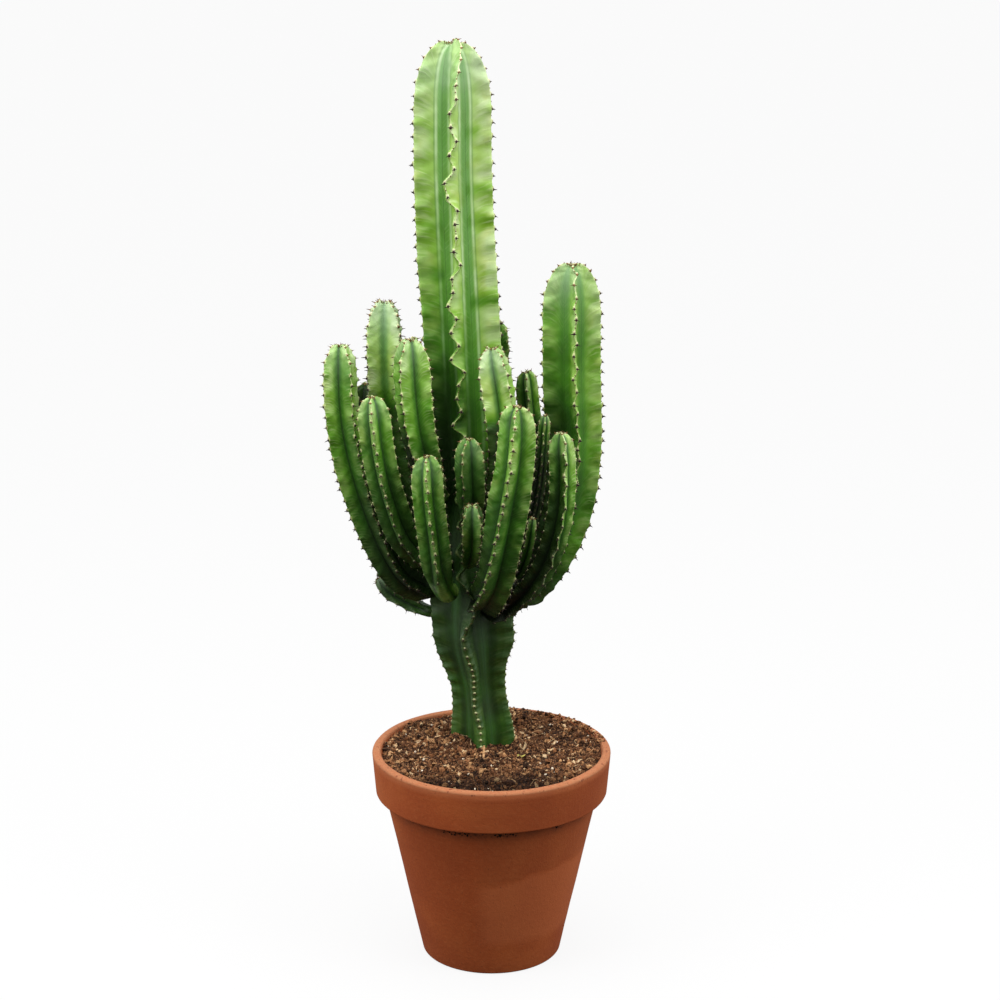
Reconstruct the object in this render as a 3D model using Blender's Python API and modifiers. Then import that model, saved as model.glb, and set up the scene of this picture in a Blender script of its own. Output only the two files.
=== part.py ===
"""A candelabra euphorbia in a turned terracotta pot.

Metres, +Z up. The origin is the centre of the pot's underside, where the pot
stands. +X is the viewer's right and -Y is the viewer's side.

The plant is a four-ribbed main stem, whose lower end stands in the soil, and
nineteen four-ribbed branches, each seated on a rib of the main stem.
"""

import math

import bmesh
import bpy
from mathutils import Matrix, Vector, noise

MM = 0.001
VIEWER = Vector((0.0, -1.0, 0.0))

# Room between two pieces that touch
SEAT_GAP = 0.35 * MM
PUSH_TRIES = 80
PUSH_CLOSE_ENOUGH = 0.02
MERGE_WITHIN = 0.002 * MM

# Pot: a turned clay pot with a plain band round its mouth
RIM_RADIUS = 125.0 * MM
POT_HEIGHT = 222.5 * MM
BASE_RADIUS = 72.8 * MM
BODY_FLARE = 0.219
RIM_WALL = 9.0 * MM
LIP_ROUND_OUT = 4.0 * MM
LIP_ROUND_IN = 2.0 * MM
BAND_BOTTOM = 178.3 * MM
BAND_RADIUS_LOW = 121.3 * MM
BAND_EDGE_ROUND = 2.2 * MM
FOOT_ROUND = 3.0 * MM
FLOOR_THICKNESS = 14.0 * MM
FLOOR_CORNER = 4.0 * MM
INNER_FLOOR_RADIUS = 68.0 * MM
POT_STEPS = 48

# Drain holes through the pot's floor
DRAIN_HOLES = 3
DRAIN_RADIUS = 6.0 * MM
DRAIN_CIRCLE = 38.0 * MM
DRAIN_SIDES = 16

# Soil: fills the pot to just under the rim, and rises a little at the stem
SOIL_LEVEL = 219.0 * MM
SOIL_MOUND = 4.0 * MM
SOIL_MOUND_WIDTH = 42.0 * MM
SOIL_BUMP = 5.0 * MM
SOIL_BUMP_SIZE = 15.0 * MM
SOIL_RINGS = 7

# Ribbed stems: four ribs, each a fleshy wing with a toothed, waved edge
RIBS = 4
QUARTER = 2.0 * math.pi / RIBS
VALLEY = 0.42
WING_ROOT_OUT = 0.47
WING_ROOT_HALF = 0.145
ROOT_SINK = 0.3
ROUTE_SAMPLES = 24

# The round top of a stem: its length and the ring places are in tip radii
CROWN_LENGTH = 1.9
CROWN_POWER = 2.2
CROWN_LEAST = 0.22
CROWN_SINK = 0.22
CROWN_STATIONS = (0.03, 0.3, 0.8, 1.45)

# The thin start of a branch, in radii of its lower part
NECK_LENGTH = 1.0
NECK_RADIUS = 0.5

# How a rib's edge wanders: sideways by turns, and in and out by a little.
# Each pair is the turn in radians from ring to ring and from rib to rib.
WAVE_CAP = 0.16
SWAY_SHARE = 0.25
SWAY_TURNS = (2.3, 1.7)
SCALLOP = 0.5 * MM
SCALLOP_TURNS = (1.9, 2.6)

# Spines: a pair of thorns on every third tooth of a rib, staggered round the stem
SPINE_LENGTH = 3.4 * MM
SPINE_BASE = 1.1 * MM
SPINE_SPREAD = math.radians(42.0)
SPINE_EVERY = 3
SPINE_FULL_RADIUS = 9.0 * MM
SPINE_LEAST_LENGTH = 0.6
BARE_ROUND_BRANCH = 24.0 * MM
BARE_ABOVE_SOIL = 4.0 * MM

# Main stem: centre line from its buried end to its top, with the radius over
# the rib edges at each point: a waist above the soil, a swelling below the
# branches, then one even column
MAIN_ROUTE = (
    (-9, 40, 120, 27),
    (-9, 40, 215, 35),
    (-11, 38, 275, 29.5),
    (-18, 34, 340, 42),
    (-22, 32, 393, 42.5),
    (-26, 31, 550, 42),
    (-29, 31, 618, 42),
    (-37, 30, 797, 40.5),
    (-38, 30, 896, 39.5),
    (-38, 30, 956, 39.5),
)
MAIN_TOOTH = 13.0 * MM
MAIN_WAVE = 6.0 * MM
# The share of the stem's length that is straight-edged, and where the waves are full
STRAIGHT_SHARE = 0.13
WAVED_SHARE = 0.42
# The nearest rib's angle from the viewer, low down and at the top, and where it turns
MAIN_FACE_LOW = math.radians(-10.0)
MAIN_FACE_TOP = math.radians(6.0)
MAIN_TURN_FROM = 0.4
MAIN_TURN_OVER = 0.4

# A branch has its tip radius, and its tip's rib angle, from these shares of its length up
BRANCH_TOOTH = 12.0 * MM
BRANCH_FULL_AT = 0.625
BRANCH_TURNED_AT = 0.77

# Branches. Each route runs from inside the rib that carries the branch to its
# tip, in millimetres. "radius" is over the rib edges, low down and near the
# tip. "face" is the angle in degrees from the viewer to the nearest rib, low
# down and at the tip. "wave" is how far the rib edges wander sideways.
BRANCHES = {
    "branch_left_outer": {
        "route": ((-55, 38, 383), (-70, 31, 387), (-95, 22, 404), (-116, 15, 439), (-133, 12, 486),
                  (-147, 10, 539), (-152, 10, 591), (-152, 10, 651)),
        "radius": (19, 19.5), "face": (5, 34), "wave": 1.6,
    },
    "branch_left_tall": {
        "route": ((-57, 38, 452), (-75, 43, 462), (-95, 47, 500), (-107, 48, 556), (-111, 46, 630),
                  (-110, 45, 690)),
        "radius": (20, 22.5), "face": (45, 45), "wave": 1.6,
    },
    "branch_left_inner": {
        "route": ((-52, 27, 482), (-60, 13, 497), (-68, 1, 538), (-75, -3, 574), (-79, -3, 615),
                  (-81, -3, 660)),
        "radius": (17, 21), "face": (-30, -30), "wave": 1.6,
    },
    "branch_left_front": {
        "route": ((-43, 30, 418), (-59, 13, 423), (-87, -14, 456), (-103, -26, 502), (-113, -31, 550),
                  (-119, -32, 611)),
        "radius": (18, 16.5), "face": (0, -5), "wave": 1.6,
    },
    "branch_front_left": {
        "route": ((-36, 6, 396), (-41, -18, 402), (-49, -44, 432), (-57, -56, 477), (-62, -61, 516),
                  (-64, -63, 558)),
        "radius": (15.5, 15.5), "face": (0, 0), "wave": 1.6,
    },
    "branch_front_upper": {
        "route": ((-27, -3, 484), (-23, -17, 490), (-21, -28, 510), (-22, -33, 540), (-22, -33, 568)),
        "radius": (14, 16.5), "face": (-26, -26), "wave": 1.4,
    },
    "branch_front_small": {
        "route": ((-27, -4, 428), (-23, -16, 435), (-20, -33, 452), (-19, -50, 479), (-19, -58, 506)),
        "radius": (10, 13.5), "face": (42, 42), "wave": 1.2,
    },
    "branch_front_right": {
        "route": ((-13, 8, 388), (-7, -20, 393), (2, -50, 421), (9, -68, 460), (17, -80, 515),
                  (23, -84, 565), (25, -84, 614)),
        "radius": (19, 21), "face": (-45, -8), "wave": 2.0,
    },
    "branch_right_inner": {
        "route": ((-11, 20, 460), (-1, 6, 472), (8, -12, 519), (9, -19, 562), (5, -20, 609), (2, -20, 657)),
        "radius": (15, 19), "face": (37, 37), "wave": 1.6,
    },
    "branch_back_right_tall": {
        "route": ((-10, 66, 455), (2, 75, 467), (11, 83, 500), (13, 85, 547), (13, 86, 600), (12, 86, 658)),
        "radius": (11, 13), "face": (30, 45), "wave": 1.4,
    },
    "branch_back_right": {
        "route": ((4, 36, 421), (20, 41, 429), (32, 54, 462), (38, 63, 525), (39, 65, 613)),
        "radius": (11, 12.5), "face": (-12, -12), "wave": 1.4,
    },
    "branch_right_slim": {
        "route": ((11, 22, 438), (25, 9, 443), (39, -1, 463), (49, -8, 520), (52, -11, 588)),
        "radius": (6, 7), "face": (0, 0), "wave": 0.9,
    },
    "branch_right_tall": {
        "route": ((16, 27, 386), (34, 25, 391), (58, 21, 424), (75, 16, 480), (82, 12, 544), (82, 10, 617),
                  (81, 10, 737)),
        "radius": (22, 29), "face": (4, 6), "wave": 3.4,
    },
    "branch_right_front": {
        "route": ((-8, 21, 368), (9, 4, 373), (31, -17, 396), (49, -30, 424), (61, -38, 455), (69, -44, 494),
                  (71, -46, 533), (69, -46, 577)),
        "radius": (12, 13.5), "face": (12, 12), "wave": 1.6,
    },
    "branch_right_sprout": {
        "route": ((-4, 23, 405), (12, 8, 409), (28, -8, 419), (38, -20, 448), (42, -24, 482)),
        "radius": (6, 6.8), "face": (45, 45), "wave": 0.9,
    },
    "branch_back_left_outer": {
        "route": ((-52, 47, 412), (-64, 58, 415), (-91, 74, 432), (-112, 84, 458), (-126, 89, 500),
                  (-132, 90, 546), (-134, 90, 593)),
        "radius": (13, 15), "face": (20, 20), "wave": 1.4,
    },
    "branch_left_low": {
        "route": ((-57, 40, 358), (-71, 45, 361), (-92, 50, 366), (-109, 54, 374), (-122, 56, 393)),
        "radius": (6, 6.2), "face": (45, 45), "wave": 0.8,
    },
    "branch_back_left": {
        "route": ((-18, 60, 430), (-26, 81, 436), (-44, 101, 470), (-51, 107, 530), (-53, 108, 602)),
        "radius": (14, 17), "face": (20, 20), "wave": 1.6,
    },
    "branch_back_centre": {
        "route": ((-17, 68, 496), (-15, 84, 501), (-13, 104, 525), (-12, 112, 570), (-12, 113, 622)),
        "radius": (12, 15), "face": (0, 0), "wave": 1.6,
    },
}


def clear_scene():
    """Remove every object, so the script can be run again."""
    for old in list(bpy.data.objects):
        bpy.data.objects.remove(old, do_unlink=True)


def collection(name):
    """A new collection linked to the scene."""
    made = bpy.data.collections.new(name)
    bpy.context.scene.collection.children.link(made)
    return made


def material(name, colour, roughness):
    """A plain non-metal surface."""
    made = bpy.data.materials.new(name)
    made.use_nodes = True
    shader = made.node_tree.nodes["Principled BSDF"]
    shader.inputs["Base Color"].default_value = (*colour, 1.0)
    shader.inputs["Roughness"].default_value = roughness
    shader.inputs["Metallic"].default_value = 0.0
    made.diffuse_color = (*colour, 1.0)
    return made


def add_object(name, mesh, home, surface=None):
    """An object for a mesh, in a collection, with its material."""
    made = bpy.data.objects.new(name, mesh)
    home.objects.link(made)
    if surface:
        mesh.materials.append(surface)
    return made


def evaluated_mesh(source):
    """A plain copy of an object's mesh with its modifiers applied."""
    bpy.context.view_layer.update()
    graph = bpy.context.evaluated_depsgraph_get()
    return bpy.data.meshes.new_from_object(source.evaluated_get(graph))


def make_cutter(thing):
    """Mark an object as a cutter."""
    thing.hide_render = True
    thing.display_type = "WIRE"


def arc(centre_r, centre_z, radius, start, end, steps):
    """Points of a round stretch in a turned profile, angles in degrees."""
    points = []
    for step in range(steps + 1):
        angle = math.radians(start + (end - start) * step / steps)
        points.append((centre_r + radius * math.cos(angle), centre_z + radius * math.sin(angle)))
    return points


def turned(name, profile, steps, home, surface):
    """A solid of revolution: a profile of (radius, height) with a Screw modifier."""
    mesh = bpy.data.meshes.new(name)
    points = [(r, 0.0, z) for r, z in profile]
    lines = [(i, i + 1) for i in range(len(points) - 1)]
    mesh.from_pydata(points, lines, [])
    made = add_object(name, mesh, home, surface)
    screw = made.modifiers.new("Turn", "SCREW")
    screw.steps = steps
    screw.render_steps = steps
    screw.use_merge_vertices = True
    screw.merge_threshold = 0.00005
    screw.use_smooth_shade = False
    return made


def subtract(target, tool, label):
    """A live Boolean cut of one object by another."""
    cut = target.modifiers.new(label, "BOOLEAN")
    cut.operation = "DIFFERENCE"
    cut.object = tool
    cut.solver = "EXACT"


def body_radius(z):
    """The pot body's outer radius at a height."""
    return BASE_RADIUS + BODY_FLARE * z


def inner_radius(z):
    """The pot's inner radius at a height, on the straight inner wall."""
    mouth = RIM_RADIUS - RIM_WALL
    low = FLOOR_THICKNESS + FLOOR_CORNER
    part = (z - low) / (POT_HEIGHT - LIP_ROUND_IN - low)
    return INNER_FLOOR_RADIUS + (mouth - INNER_FLOOR_RADIUS) * part


def build_pot(home, cutters, surface):
    """The pot: floor, wall, rounded lip and band, with its drain holes."""
    mouth = RIM_RADIUS - RIM_WALL
    profile = [(0.0, FLOOR_THICKNESS), (INNER_FLOOR_RADIUS - FLOOR_CORNER, FLOOR_THICKNESS)]
    profile.append((INNER_FLOOR_RADIUS, FLOOR_THICKNESS + FLOOR_CORNER))
    profile += arc(mouth + LIP_ROUND_IN, POT_HEIGHT - LIP_ROUND_IN, LIP_ROUND_IN, 180, 90, 2)
    profile += arc(RIM_RADIUS - LIP_ROUND_OUT, POT_HEIGHT - LIP_ROUND_OUT, LIP_ROUND_OUT, 90, 0, 4)
    band_r = BAND_RADIUS_LOW - BAND_EDGE_ROUND
    profile += arc(band_r, BAND_BOTTOM + BAND_EDGE_ROUND, BAND_EDGE_ROUND, 0, -90, 2)
    profile.append((body_radius(BAND_BOTTOM), BAND_BOTTOM))
    foot_r = body_radius(FOOT_ROUND) - FOOT_ROUND
    profile += arc(foot_r, FOOT_ROUND, FOOT_ROUND, -12, -90, 3)
    profile.append((0.0, 0.0))
    pot = turned("pot", profile, POT_STEPS, home, surface)

    holes = bmesh.new()
    for number in range(DRAIN_HOLES):
        angle = math.radians(90.0 + 360.0 / DRAIN_HOLES * number)
        place = Vector((DRAIN_CIRCLE * math.cos(angle), DRAIN_CIRCLE * math.sin(angle), FLOOR_THICKNESS / 2))
        bmesh.ops.create_cone(
            holes, cap_ends=True, segments=DRAIN_SIDES, radius1=DRAIN_RADIUS, radius2=DRAIN_RADIUS,
            depth=FLOOR_THICKNESS * 2, matrix=Matrix.Translation(place),
        )
    mesh = bpy.data.meshes.new("drain_hole_cutter")
    holes.to_mesh(mesh)
    holes.free()
    cutter = add_object("drain_hole_cutter", mesh, cutters)
    make_cutter(cutter)
    subtract(pot, cutter, "Drain holes")
    return pot


def soil_height(x, y):
    """The bumpy top of the soil: a low mound at the stem and clods all over."""
    foot = Vector(MAIN_ROUTE[1][:2]) * MM
    away = (Vector((x, y)) - foot).length
    mound = SOIL_MOUND * math.exp(-((away / SOIL_MOUND_WIDTH) ** 2))
    clods = noise.noise(Vector((x, y, 0.0)) / SOIL_BUMP_SIZE)
    return SOIL_LEVEL + mound + SOIL_BUMP * clods


def build_soil(home, stem_cutter, surface):
    """The soil: a plug with a bumpy top, and a hole where the stem stands."""
    top_r = inner_radius(SOIL_LEVEL) - SEAT_GAP
    low_z = FLOOR_THICKNESS + SEAT_GAP
    profile = [(top_r * ring / SOIL_RINGS, SOIL_LEVEL) for ring in range(SOIL_RINGS + 1)]
    corner_z = FLOOR_THICKNESS + FLOOR_CORNER
    profile.append((inner_radius(corner_z) - SEAT_GAP, corner_z))
    profile.append((INNER_FLOOR_RADIUS - FLOOR_CORNER - SEAT_GAP, low_z))
    profile.append((0.0, low_z))
    plug = turned("soil_plug", profile, POT_STEPS, home, None)
    mesh = evaluated_mesh(plug)
    bpy.data.objects.remove(plug, do_unlink=True)
    for vertex in mesh.vertices:
        edge = Vector(vertex.co[:2]).length > top_r * (SOIL_RINGS - 0.5) / SOIL_RINGS
        if vertex.co.z > SOIL_LEVEL - MM and not edge:
            vertex.co.z = soil_height(vertex.co.x, vertex.co.y)
    mesh.name = "soil"
    soil = add_object("soil", mesh, home, surface)
    subtract(soil, stem_cutter, "Stem hole")
    return soil


def smooth_route(points):
    """A close row of points on a smooth curve through a route's own points."""
    ends = [points[0] * 2 - points[1]] + list(points) + [points[-1] * 2 - points[-2]]
    row = []
    for a, b, c, d in zip(ends, ends[1:], ends[2:], ends[3:]):
        for step in range(ROUTE_SAMPLES):
            t = step / ROUTE_SAMPLES
            row.append(0.5 * (2 * b + (c - a) * t + (2 * a - 5 * b + 4 * c - d) * t ** 2
                              + (3 * b - a - 3 * c + d) * t ** 3))
    row.append(points[-1].copy())
    return row


def stations(row, tooth, tip_radius):
    """Distances from the base at which a stem gets a ring: crown rings, then one to a tooth."""
    length = sum((b - a).length for a, b in zip(row, row[1:]))
    crown = [length - part * tip_radius for part in CROWN_STATIONS]
    below = crown[-1]
    count = max(2, round(below / tooth))
    rings = [below * step / count for step in range(count)]
    return rings + crown[::-1], length


def place_on(row, distance):
    """The point and direction at a distance along a row of points."""
    walked = 0.0
    for a, b in zip(row, row[1:]):
        part = (b - a).length
        if walked + part >= distance or b is row[-1]:
            share = (distance - walked) / part
            return a.lerp(b, share), (b - a).normalized()
        walked += part
    return row[-1].copy(), (row[-1] - row[-2]).normalized()


def level(values, share):
    """A value read from an even row of values at a share of its length."""
    spot = min(max(share, 0.0), 1.0) * (len(values) - 1)
    low = min(int(spot), len(values) - 2)
    return values[low] + (values[low + 1] - values[low]) * (spot - low)


def dome(from_tip, radius):
    """How much of its full radius a stem has at a distance from its tip."""
    share = min(max(from_tip / (CROWN_LENGTH * radius), 0.0), 1.0)
    return max(CROWN_LEAST, (1.0 - (1.0 - share) ** CROWN_POWER) ** (1.0 / CROWN_POWER))


def push_clear(vertex, gap):
    """A small move that takes a vertex clear of every face round it by a gap."""
    move = Vector()
    for _ in range(PUSH_TRIES):
        nearest = min(vertex.link_faces, key=lambda face: move.dot(face.normal))
        lack = gap - move.dot(nearest.normal)
        if lack < PUSH_CLOSE_ENOUGH * gap:
            break
        move += nearest.normal * lack
    return move


class Stem:
    """A ribbed stem: rings along a smooth centre line, lofted into one closed mesh."""

    def __init__(self, route, radius_at, face_at, wave_at, tooth, winged=False, neck=True):
        self.row = smooth_route(route)
        self.wave_at = wave_at
        self.winged = winged
        tip_radius = radius_at(1.0)
        self.rings, self.length = stations(self.row, tooth, tip_radius)
        self.centres = []
        self.radii = []
        self.faces = []
        directions = []
        for distance in self.rings:
            centre, direction = place_on(self.row, distance)
            share = distance / self.length
            radius = radius_at(share) * dome(self.length - distance, tip_radius)
            if neck:
                reach = min(distance / (NECK_LENGTH * radius_at(0.0)), 1.0)
                radius *= NECK_RADIUS + (1.0 - NECK_RADIUS) * reach * reach * (3.0 - 2.0 * reach)
            self.centres.append(centre)
            directions.append(direction)
            self.radii.append(radius)
            self.faces.append(face_at(share))
        self.directions = directions
        self.fronts = self.carry_front(directions)

    def carry_front(self, directions):
        """Carry the viewer's side down the stem from its tip without twisting."""
        front = VIEWER - directions[-1] * VIEWER.dot(directions[-1])
        fronts = []
        for direction in reversed(directions):
            front = (front - direction * front.dot(direction)).normalized()
            fronts.append(front)
        return fronts[::-1]

    def outward(self, ring, angle):
        """The direction out of the stem at an angle from the viewer's side."""
        front = self.fronts[ring]
        side = self.directions[ring].cross(front)
        turned_angle = self.faces[ring] + angle
        return front * math.cos(turned_angle) + side * math.sin(turned_angle)

    def edge(self, ring, rib):
        """A point on a rib's edge, waved sideways from tooth to tooth."""
        radius = self.radii[ring]
        out = self.outward(ring, rib * QUARTER)
        along = self.outward(ring, rib * QUARTER + QUARTER)
        sway_turn = SWAY_TURNS[0] * ring + SWAY_TURNS[1] * rib
        sway = 1.0 - SWAY_SHARE + SWAY_SHARE * math.sin(sway_turn)
        sign = 1.0 if (ring + rib) % 2 else -1.0
        wave = min(self.wave_at(self.rings[ring] / self.length), WAVE_CAP * radius) * sway * sign
        scallop = SCALLOP * math.sin(SCALLOP_TURNS[0] * ring + SCALLOP_TURNS[1] * rib)
        return self.centres[ring] + out * (radius + scallop) + along * wave

    def between(self, ring, rib):
        """The points in the hollow between a rib and the next one."""
        radius = self.radii[ring]
        centre = self.centres[ring]
        if not self.winged:
            out = self.outward(ring, (rib + 0.5) * QUARTER)
            return [centre + out * (VALLEY * radius)]
        one = self.outward(ring, rib * QUARTER)
        other = self.outward(ring, rib * QUARTER + QUARTER)
        deep = WING_ROOT_OUT * radius
        half = WING_ROOT_HALF * radius
        return [centre + one * deep + other * half, centre + other * deep + one * half]

    def mesh(self, name, swell=0.0, bare_spots=(), bare_below=-1.0):
        """The closed mesh. A copy that is swollen all over has no spines, and serves as a cutter."""
        built = bmesh.new()
        last = len(self.rings) - 1
        edges = []
        hollows = []
        for ring in range(last + 1):
            edges.append([self.edge(ring, rib) for rib in range(RIBS)])
            hollows.append([
                [built.verts.new(point) for point in self.between(ring, rib)] for rib in range(RIBS)
            ])
        # The edge of a rib at a ring is one point, or the foot of a pair of spines
        below = []
        above = []
        for ring in range(last + 1):
            below.append([])
            above.append([])
            for rib in range(RIBS):
                here = edges[ring][rib]
                crown = ring == last - 1
                toothed = 0 < ring < last and (crown or (ring + rib) % SPINE_EVERY == 0)
                clear = all((here - spot).length > BARE_ROUND_BRANCH for spot in bare_spots)
                clear = clear and here.z > bare_below
                if swell or not (toothed and clear):
                    point = built.verts.new(here)
                    below[ring].append(([point], [point]))
                    above[ring].append(([point], [point]))
                    continue
                pair = self.spine_pair(built, ring, rib, edges, hollows)
                low, high, left, right = pair
                below[ring].append(([left, low], [low, right]))
                above[ring].append(([left, high], [high, right]))
        for ring in range(last):
            for rib in range(RIBS):
                left_low = above[ring][rib][0]
                right_low = above[ring][rib][1]
                left_high = below[ring + 1][rib][0]
                right_high = below[ring + 1][rib][1]
                right_root = hollows[ring][rib][0]
                right_root_up = hollows[ring + 1][rib][0]
                left_root = hollows[ring][rib - 1][-1]
                left_root_up = hollows[ring + 1][rib - 1][-1]
                built.faces.new(right_low + [right_root, right_root_up] + right_high[::-1])
                built.faces.new([left_root] + left_low + left_high[::-1] + [left_root_up])
                for one, two in zip(hollows[ring][rib], hollows[ring][rib][1:]):
                    up_one, up_two = hollows[ring + 1][rib]
                    built.faces.new([one, two, up_two, up_one])
        self.close_end(built, 0, below, hollows, -ROOT_SINK * self.radii[0])
        self.close_end(built, last, below, hollows, -CROWN_SINK * self.radii[-3])
        bmesh.ops.triangulate(built, faces=list(built.faces))
        bmesh.ops.recalc_face_normals(built, faces=list(built.faces))
        built.normal_update()
        pushes = [push_clear(vertex, swell) for vertex in built.verts] if swell else []
        for vertex, push in zip(built.verts, pushes):
            vertex.co += push
        made = bpy.data.meshes.new(name)
        built.to_mesh(made)
        built.free()
        return made

    def spine_pair(self, built, ring, rib, edges, hollows):
        """Two thorns that spread from one tooth, rooted in the rib's edge."""
        here = edges[ring][rib]
        along = (edges[ring + 1][rib] - edges[ring - 1][rib]).normalized()
        out = self.outward(ring, rib * QUARTER)
        side = self.outward(ring, rib * QUARTER + QUARTER)
        size = min(1.0, self.radii[ring] / SPINE_FULL_RADIUS)
        foot = SPINE_BASE * size
        reach = SPINE_LENGTH * (SPINE_LEAST_LENGTH + (1.0 - SPINE_LEAST_LENGTH) * size)
        to_left = (hollows[ring][rib - 1][-1].co - here).normalized()
        to_right = (hollows[ring][rib][0].co - here).normalized()
        low = built.verts.new(here - along * foot)
        high = built.verts.new(here + along * foot)
        left = built.verts.new(here + to_left * foot)
        right = built.verts.new(here + to_right * foot)
        for spread, root in ((-SPINE_SPREAD, left), (SPINE_SPREAD, right)):
            tip = built.verts.new(here + (out * math.cos(spread) + side * math.sin(spread)) * reach)
            built.faces.new([low, high, tip])
            built.faces.new([high, root, tip])
            built.faces.new([root, low, tip])
        return low, high, left, right

    def close_end(self, built, ring, edge_points, hollows, push):
        """A fan over the end ring, to a point pushed along the stem."""
        direction = self.directions[ring]
        hub = built.verts.new(self.centres[ring] + direction * push)
        loop = []
        for rib in range(RIBS):
            loop.append(edge_points[ring][rib][0][0])
            loop += hollows[ring][rib]
        for one, two in zip(loop, loop[1:] + loop[:1]):
            built.faces.new([hub, one, two])


def main_stem():
    """The trunk and the tall column above it, which are one stem."""
    route = [Vector(point[:3]) * MM for point in MAIN_ROUTE]
    row = smooth_route(route)
    total = sum((b - a).length for a, b in zip(row, row[1:]))
    marks = [0.0]
    for a, b in zip(route, route[1:]):
        marks.append(marks[-1] + (b - a).length / total)
    sizes = [point[3] * MM for point in MAIN_ROUTE]

    def radius_at(share):
        for low, high, one, two in zip(marks, marks[1:], sizes, sizes[1:]):
            if share <= high:
                part = (share - low) / (high - low)
                return one + (two - one) * part * part * (3.0 - 2.0 * part)
        return sizes[-1]

    def face_at(share):
        part = min(max((share - MAIN_TURN_FROM) / MAIN_TURN_OVER, 0.0), 1.0)
        return MAIN_FACE_LOW + (MAIN_FACE_TOP - MAIN_FACE_LOW) * part

    def wave_at(share):
        part = min(max((share - STRAIGHT_SHARE) / (WAVED_SHARE - STRAIGHT_SHARE), 0.0), 1.0)
        return MAIN_WAVE * part

    return Stem(route, radius_at, face_at, wave_at, MAIN_TOOTH, winged=True, neck=False)


def branch_stem(design):
    """A branch's stem from its line in the table of branches."""
    route = [Vector(point) * MM for point in design["route"]]
    radii = [value * MM for value in design["radius"]]
    faces = [math.radians(value) for value in design["face"]]
    return Stem(
        route, lambda share: level(radii, share / BRANCH_FULL_AT),
        lambda share: level(faces, share / BRANCH_TURNED_AT),
        lambda share: design["wave"] * MM, BRANCH_TOOTH,
    )


def largest_piece(mesh):
    """Keep the largest of a mesh's separate bodies, and drop cutting scraps."""
    work = bmesh.new()
    work.from_mesh(mesh)
    bmesh.ops.remove_doubles(work, verts=list(work.verts), dist=MERGE_WITHIN)
    bmesh.ops.triangulate(work, faces=list(work.faces))
    left = set(work.verts)
    bodies = []
    while left:
        todo = [left.pop()]
        body = set(todo)
        while todo:
            for line in todo.pop().link_edges:
                for vertex in line.verts:
                    if vertex in left:
                        left.remove(vertex)
                        body.add(vertex)
                        todo.append(vertex)
        bodies.append(body)
    bodies.sort(key=len)
    scraps = [vertex for body in bodies[:-1] for vertex in body]
    bmesh.ops.delete(work, geom=scraps, context="VERTS")
    work.to_mesh(mesh)
    work.free()


def build_branch(name, design, home, stem_cutter, surface):
    """A branch, seated on the main stem's rib like a saddle."""
    whole = add_object(name + "_whole", branch_stem(design).mesh(name + "_whole"), home)
    subtract(whole, stem_cutter, "Seat")
    mesh = evaluated_mesh(whole)
    bpy.data.objects.remove(whole, do_unlink=True)
    largest_piece(mesh)
    mesh.name = name
    return add_object(name, mesh, home, surface)


def build():
    """The whole object."""
    clear_scene()
    home = collection("potted_candelabra_euphorbia")
    cutters = collection("cutters")
    clay = material("terracotta", (0.36, 0.115, 0.045), 0.85)
    earth = material("potting_soil", (0.075, 0.038, 0.022), 0.95)
    trunk_green = material("main_stem_green", (0.13, 0.33, 0.07), 0.45)
    branch_green = material("branch_green", (0.09, 0.27, 0.04), 0.45)

    column = main_stem()
    stem_cutter = add_object("main_stem_cutter", column.mesh("main_stem_cutter", SEAT_GAP), cutters)
    make_cutter(stem_cutter)

    build_pot(home, cutters, clay)
    build_soil(home, stem_cutter, earth)
    roots = [Vector(design["route"][0]) * MM for design in BRANCHES.values()]
    bare_height = SOIL_LEVEL + SOIL_MOUND + BARE_ABOVE_SOIL
    stem_mesh = column.mesh("main_stem", bare_spots=roots, bare_below=bare_height)
    add_object("main_stem", stem_mesh, home, trunk_green)
    for name, design in BRANCHES.items():
        build_branch(name, design, home, stem_cutter, branch_green)


build()
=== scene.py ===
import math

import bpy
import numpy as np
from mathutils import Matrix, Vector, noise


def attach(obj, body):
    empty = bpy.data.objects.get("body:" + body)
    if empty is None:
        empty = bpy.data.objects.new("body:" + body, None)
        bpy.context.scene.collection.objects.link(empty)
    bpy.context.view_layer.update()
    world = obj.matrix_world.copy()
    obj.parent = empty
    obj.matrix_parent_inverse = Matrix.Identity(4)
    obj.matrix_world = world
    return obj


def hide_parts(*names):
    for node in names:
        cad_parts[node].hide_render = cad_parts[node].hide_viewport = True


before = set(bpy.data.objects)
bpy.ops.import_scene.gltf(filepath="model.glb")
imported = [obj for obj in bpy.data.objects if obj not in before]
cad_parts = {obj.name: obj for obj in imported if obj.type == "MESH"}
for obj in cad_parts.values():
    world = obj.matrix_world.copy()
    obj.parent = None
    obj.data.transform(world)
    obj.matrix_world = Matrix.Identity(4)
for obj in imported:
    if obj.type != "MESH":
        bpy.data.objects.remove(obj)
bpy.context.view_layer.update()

# The looks of a candelabra euphorbia in a turned terracotta pot, in metres.
# The origin is the centre of the pot's underside, +X is the viewer's right and
# -Y is the viewer's side.

MM = 0.001
TURN = 2.0 * math.pi
SEED = 4107
VIEWER = np.array((0.0, -1.0, 0.0))

# Stem form, as in the solids: four ribs along a smooth centre line
RIBS = 4
QUARTER = TURN / RIBS
ROUTE_SAMPLES = 24
CROWN_LENGTH = 1.9
CROWN_POWER = 2.2
CROWN_TURN = 1.545
CROWN_SHARE = 1.45
CROWN_UNEVEN = 0.9
NECK_LENGTH = 1.0
NECK_RADIUS = 0.5
# Fine steps that teeth are counted in, along a stem and over its crown
COUNT_STEP = 0.6 * MM
CROWN_COUNTS = 90
DIRECTION_STEP = 1.0 * MM

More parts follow.
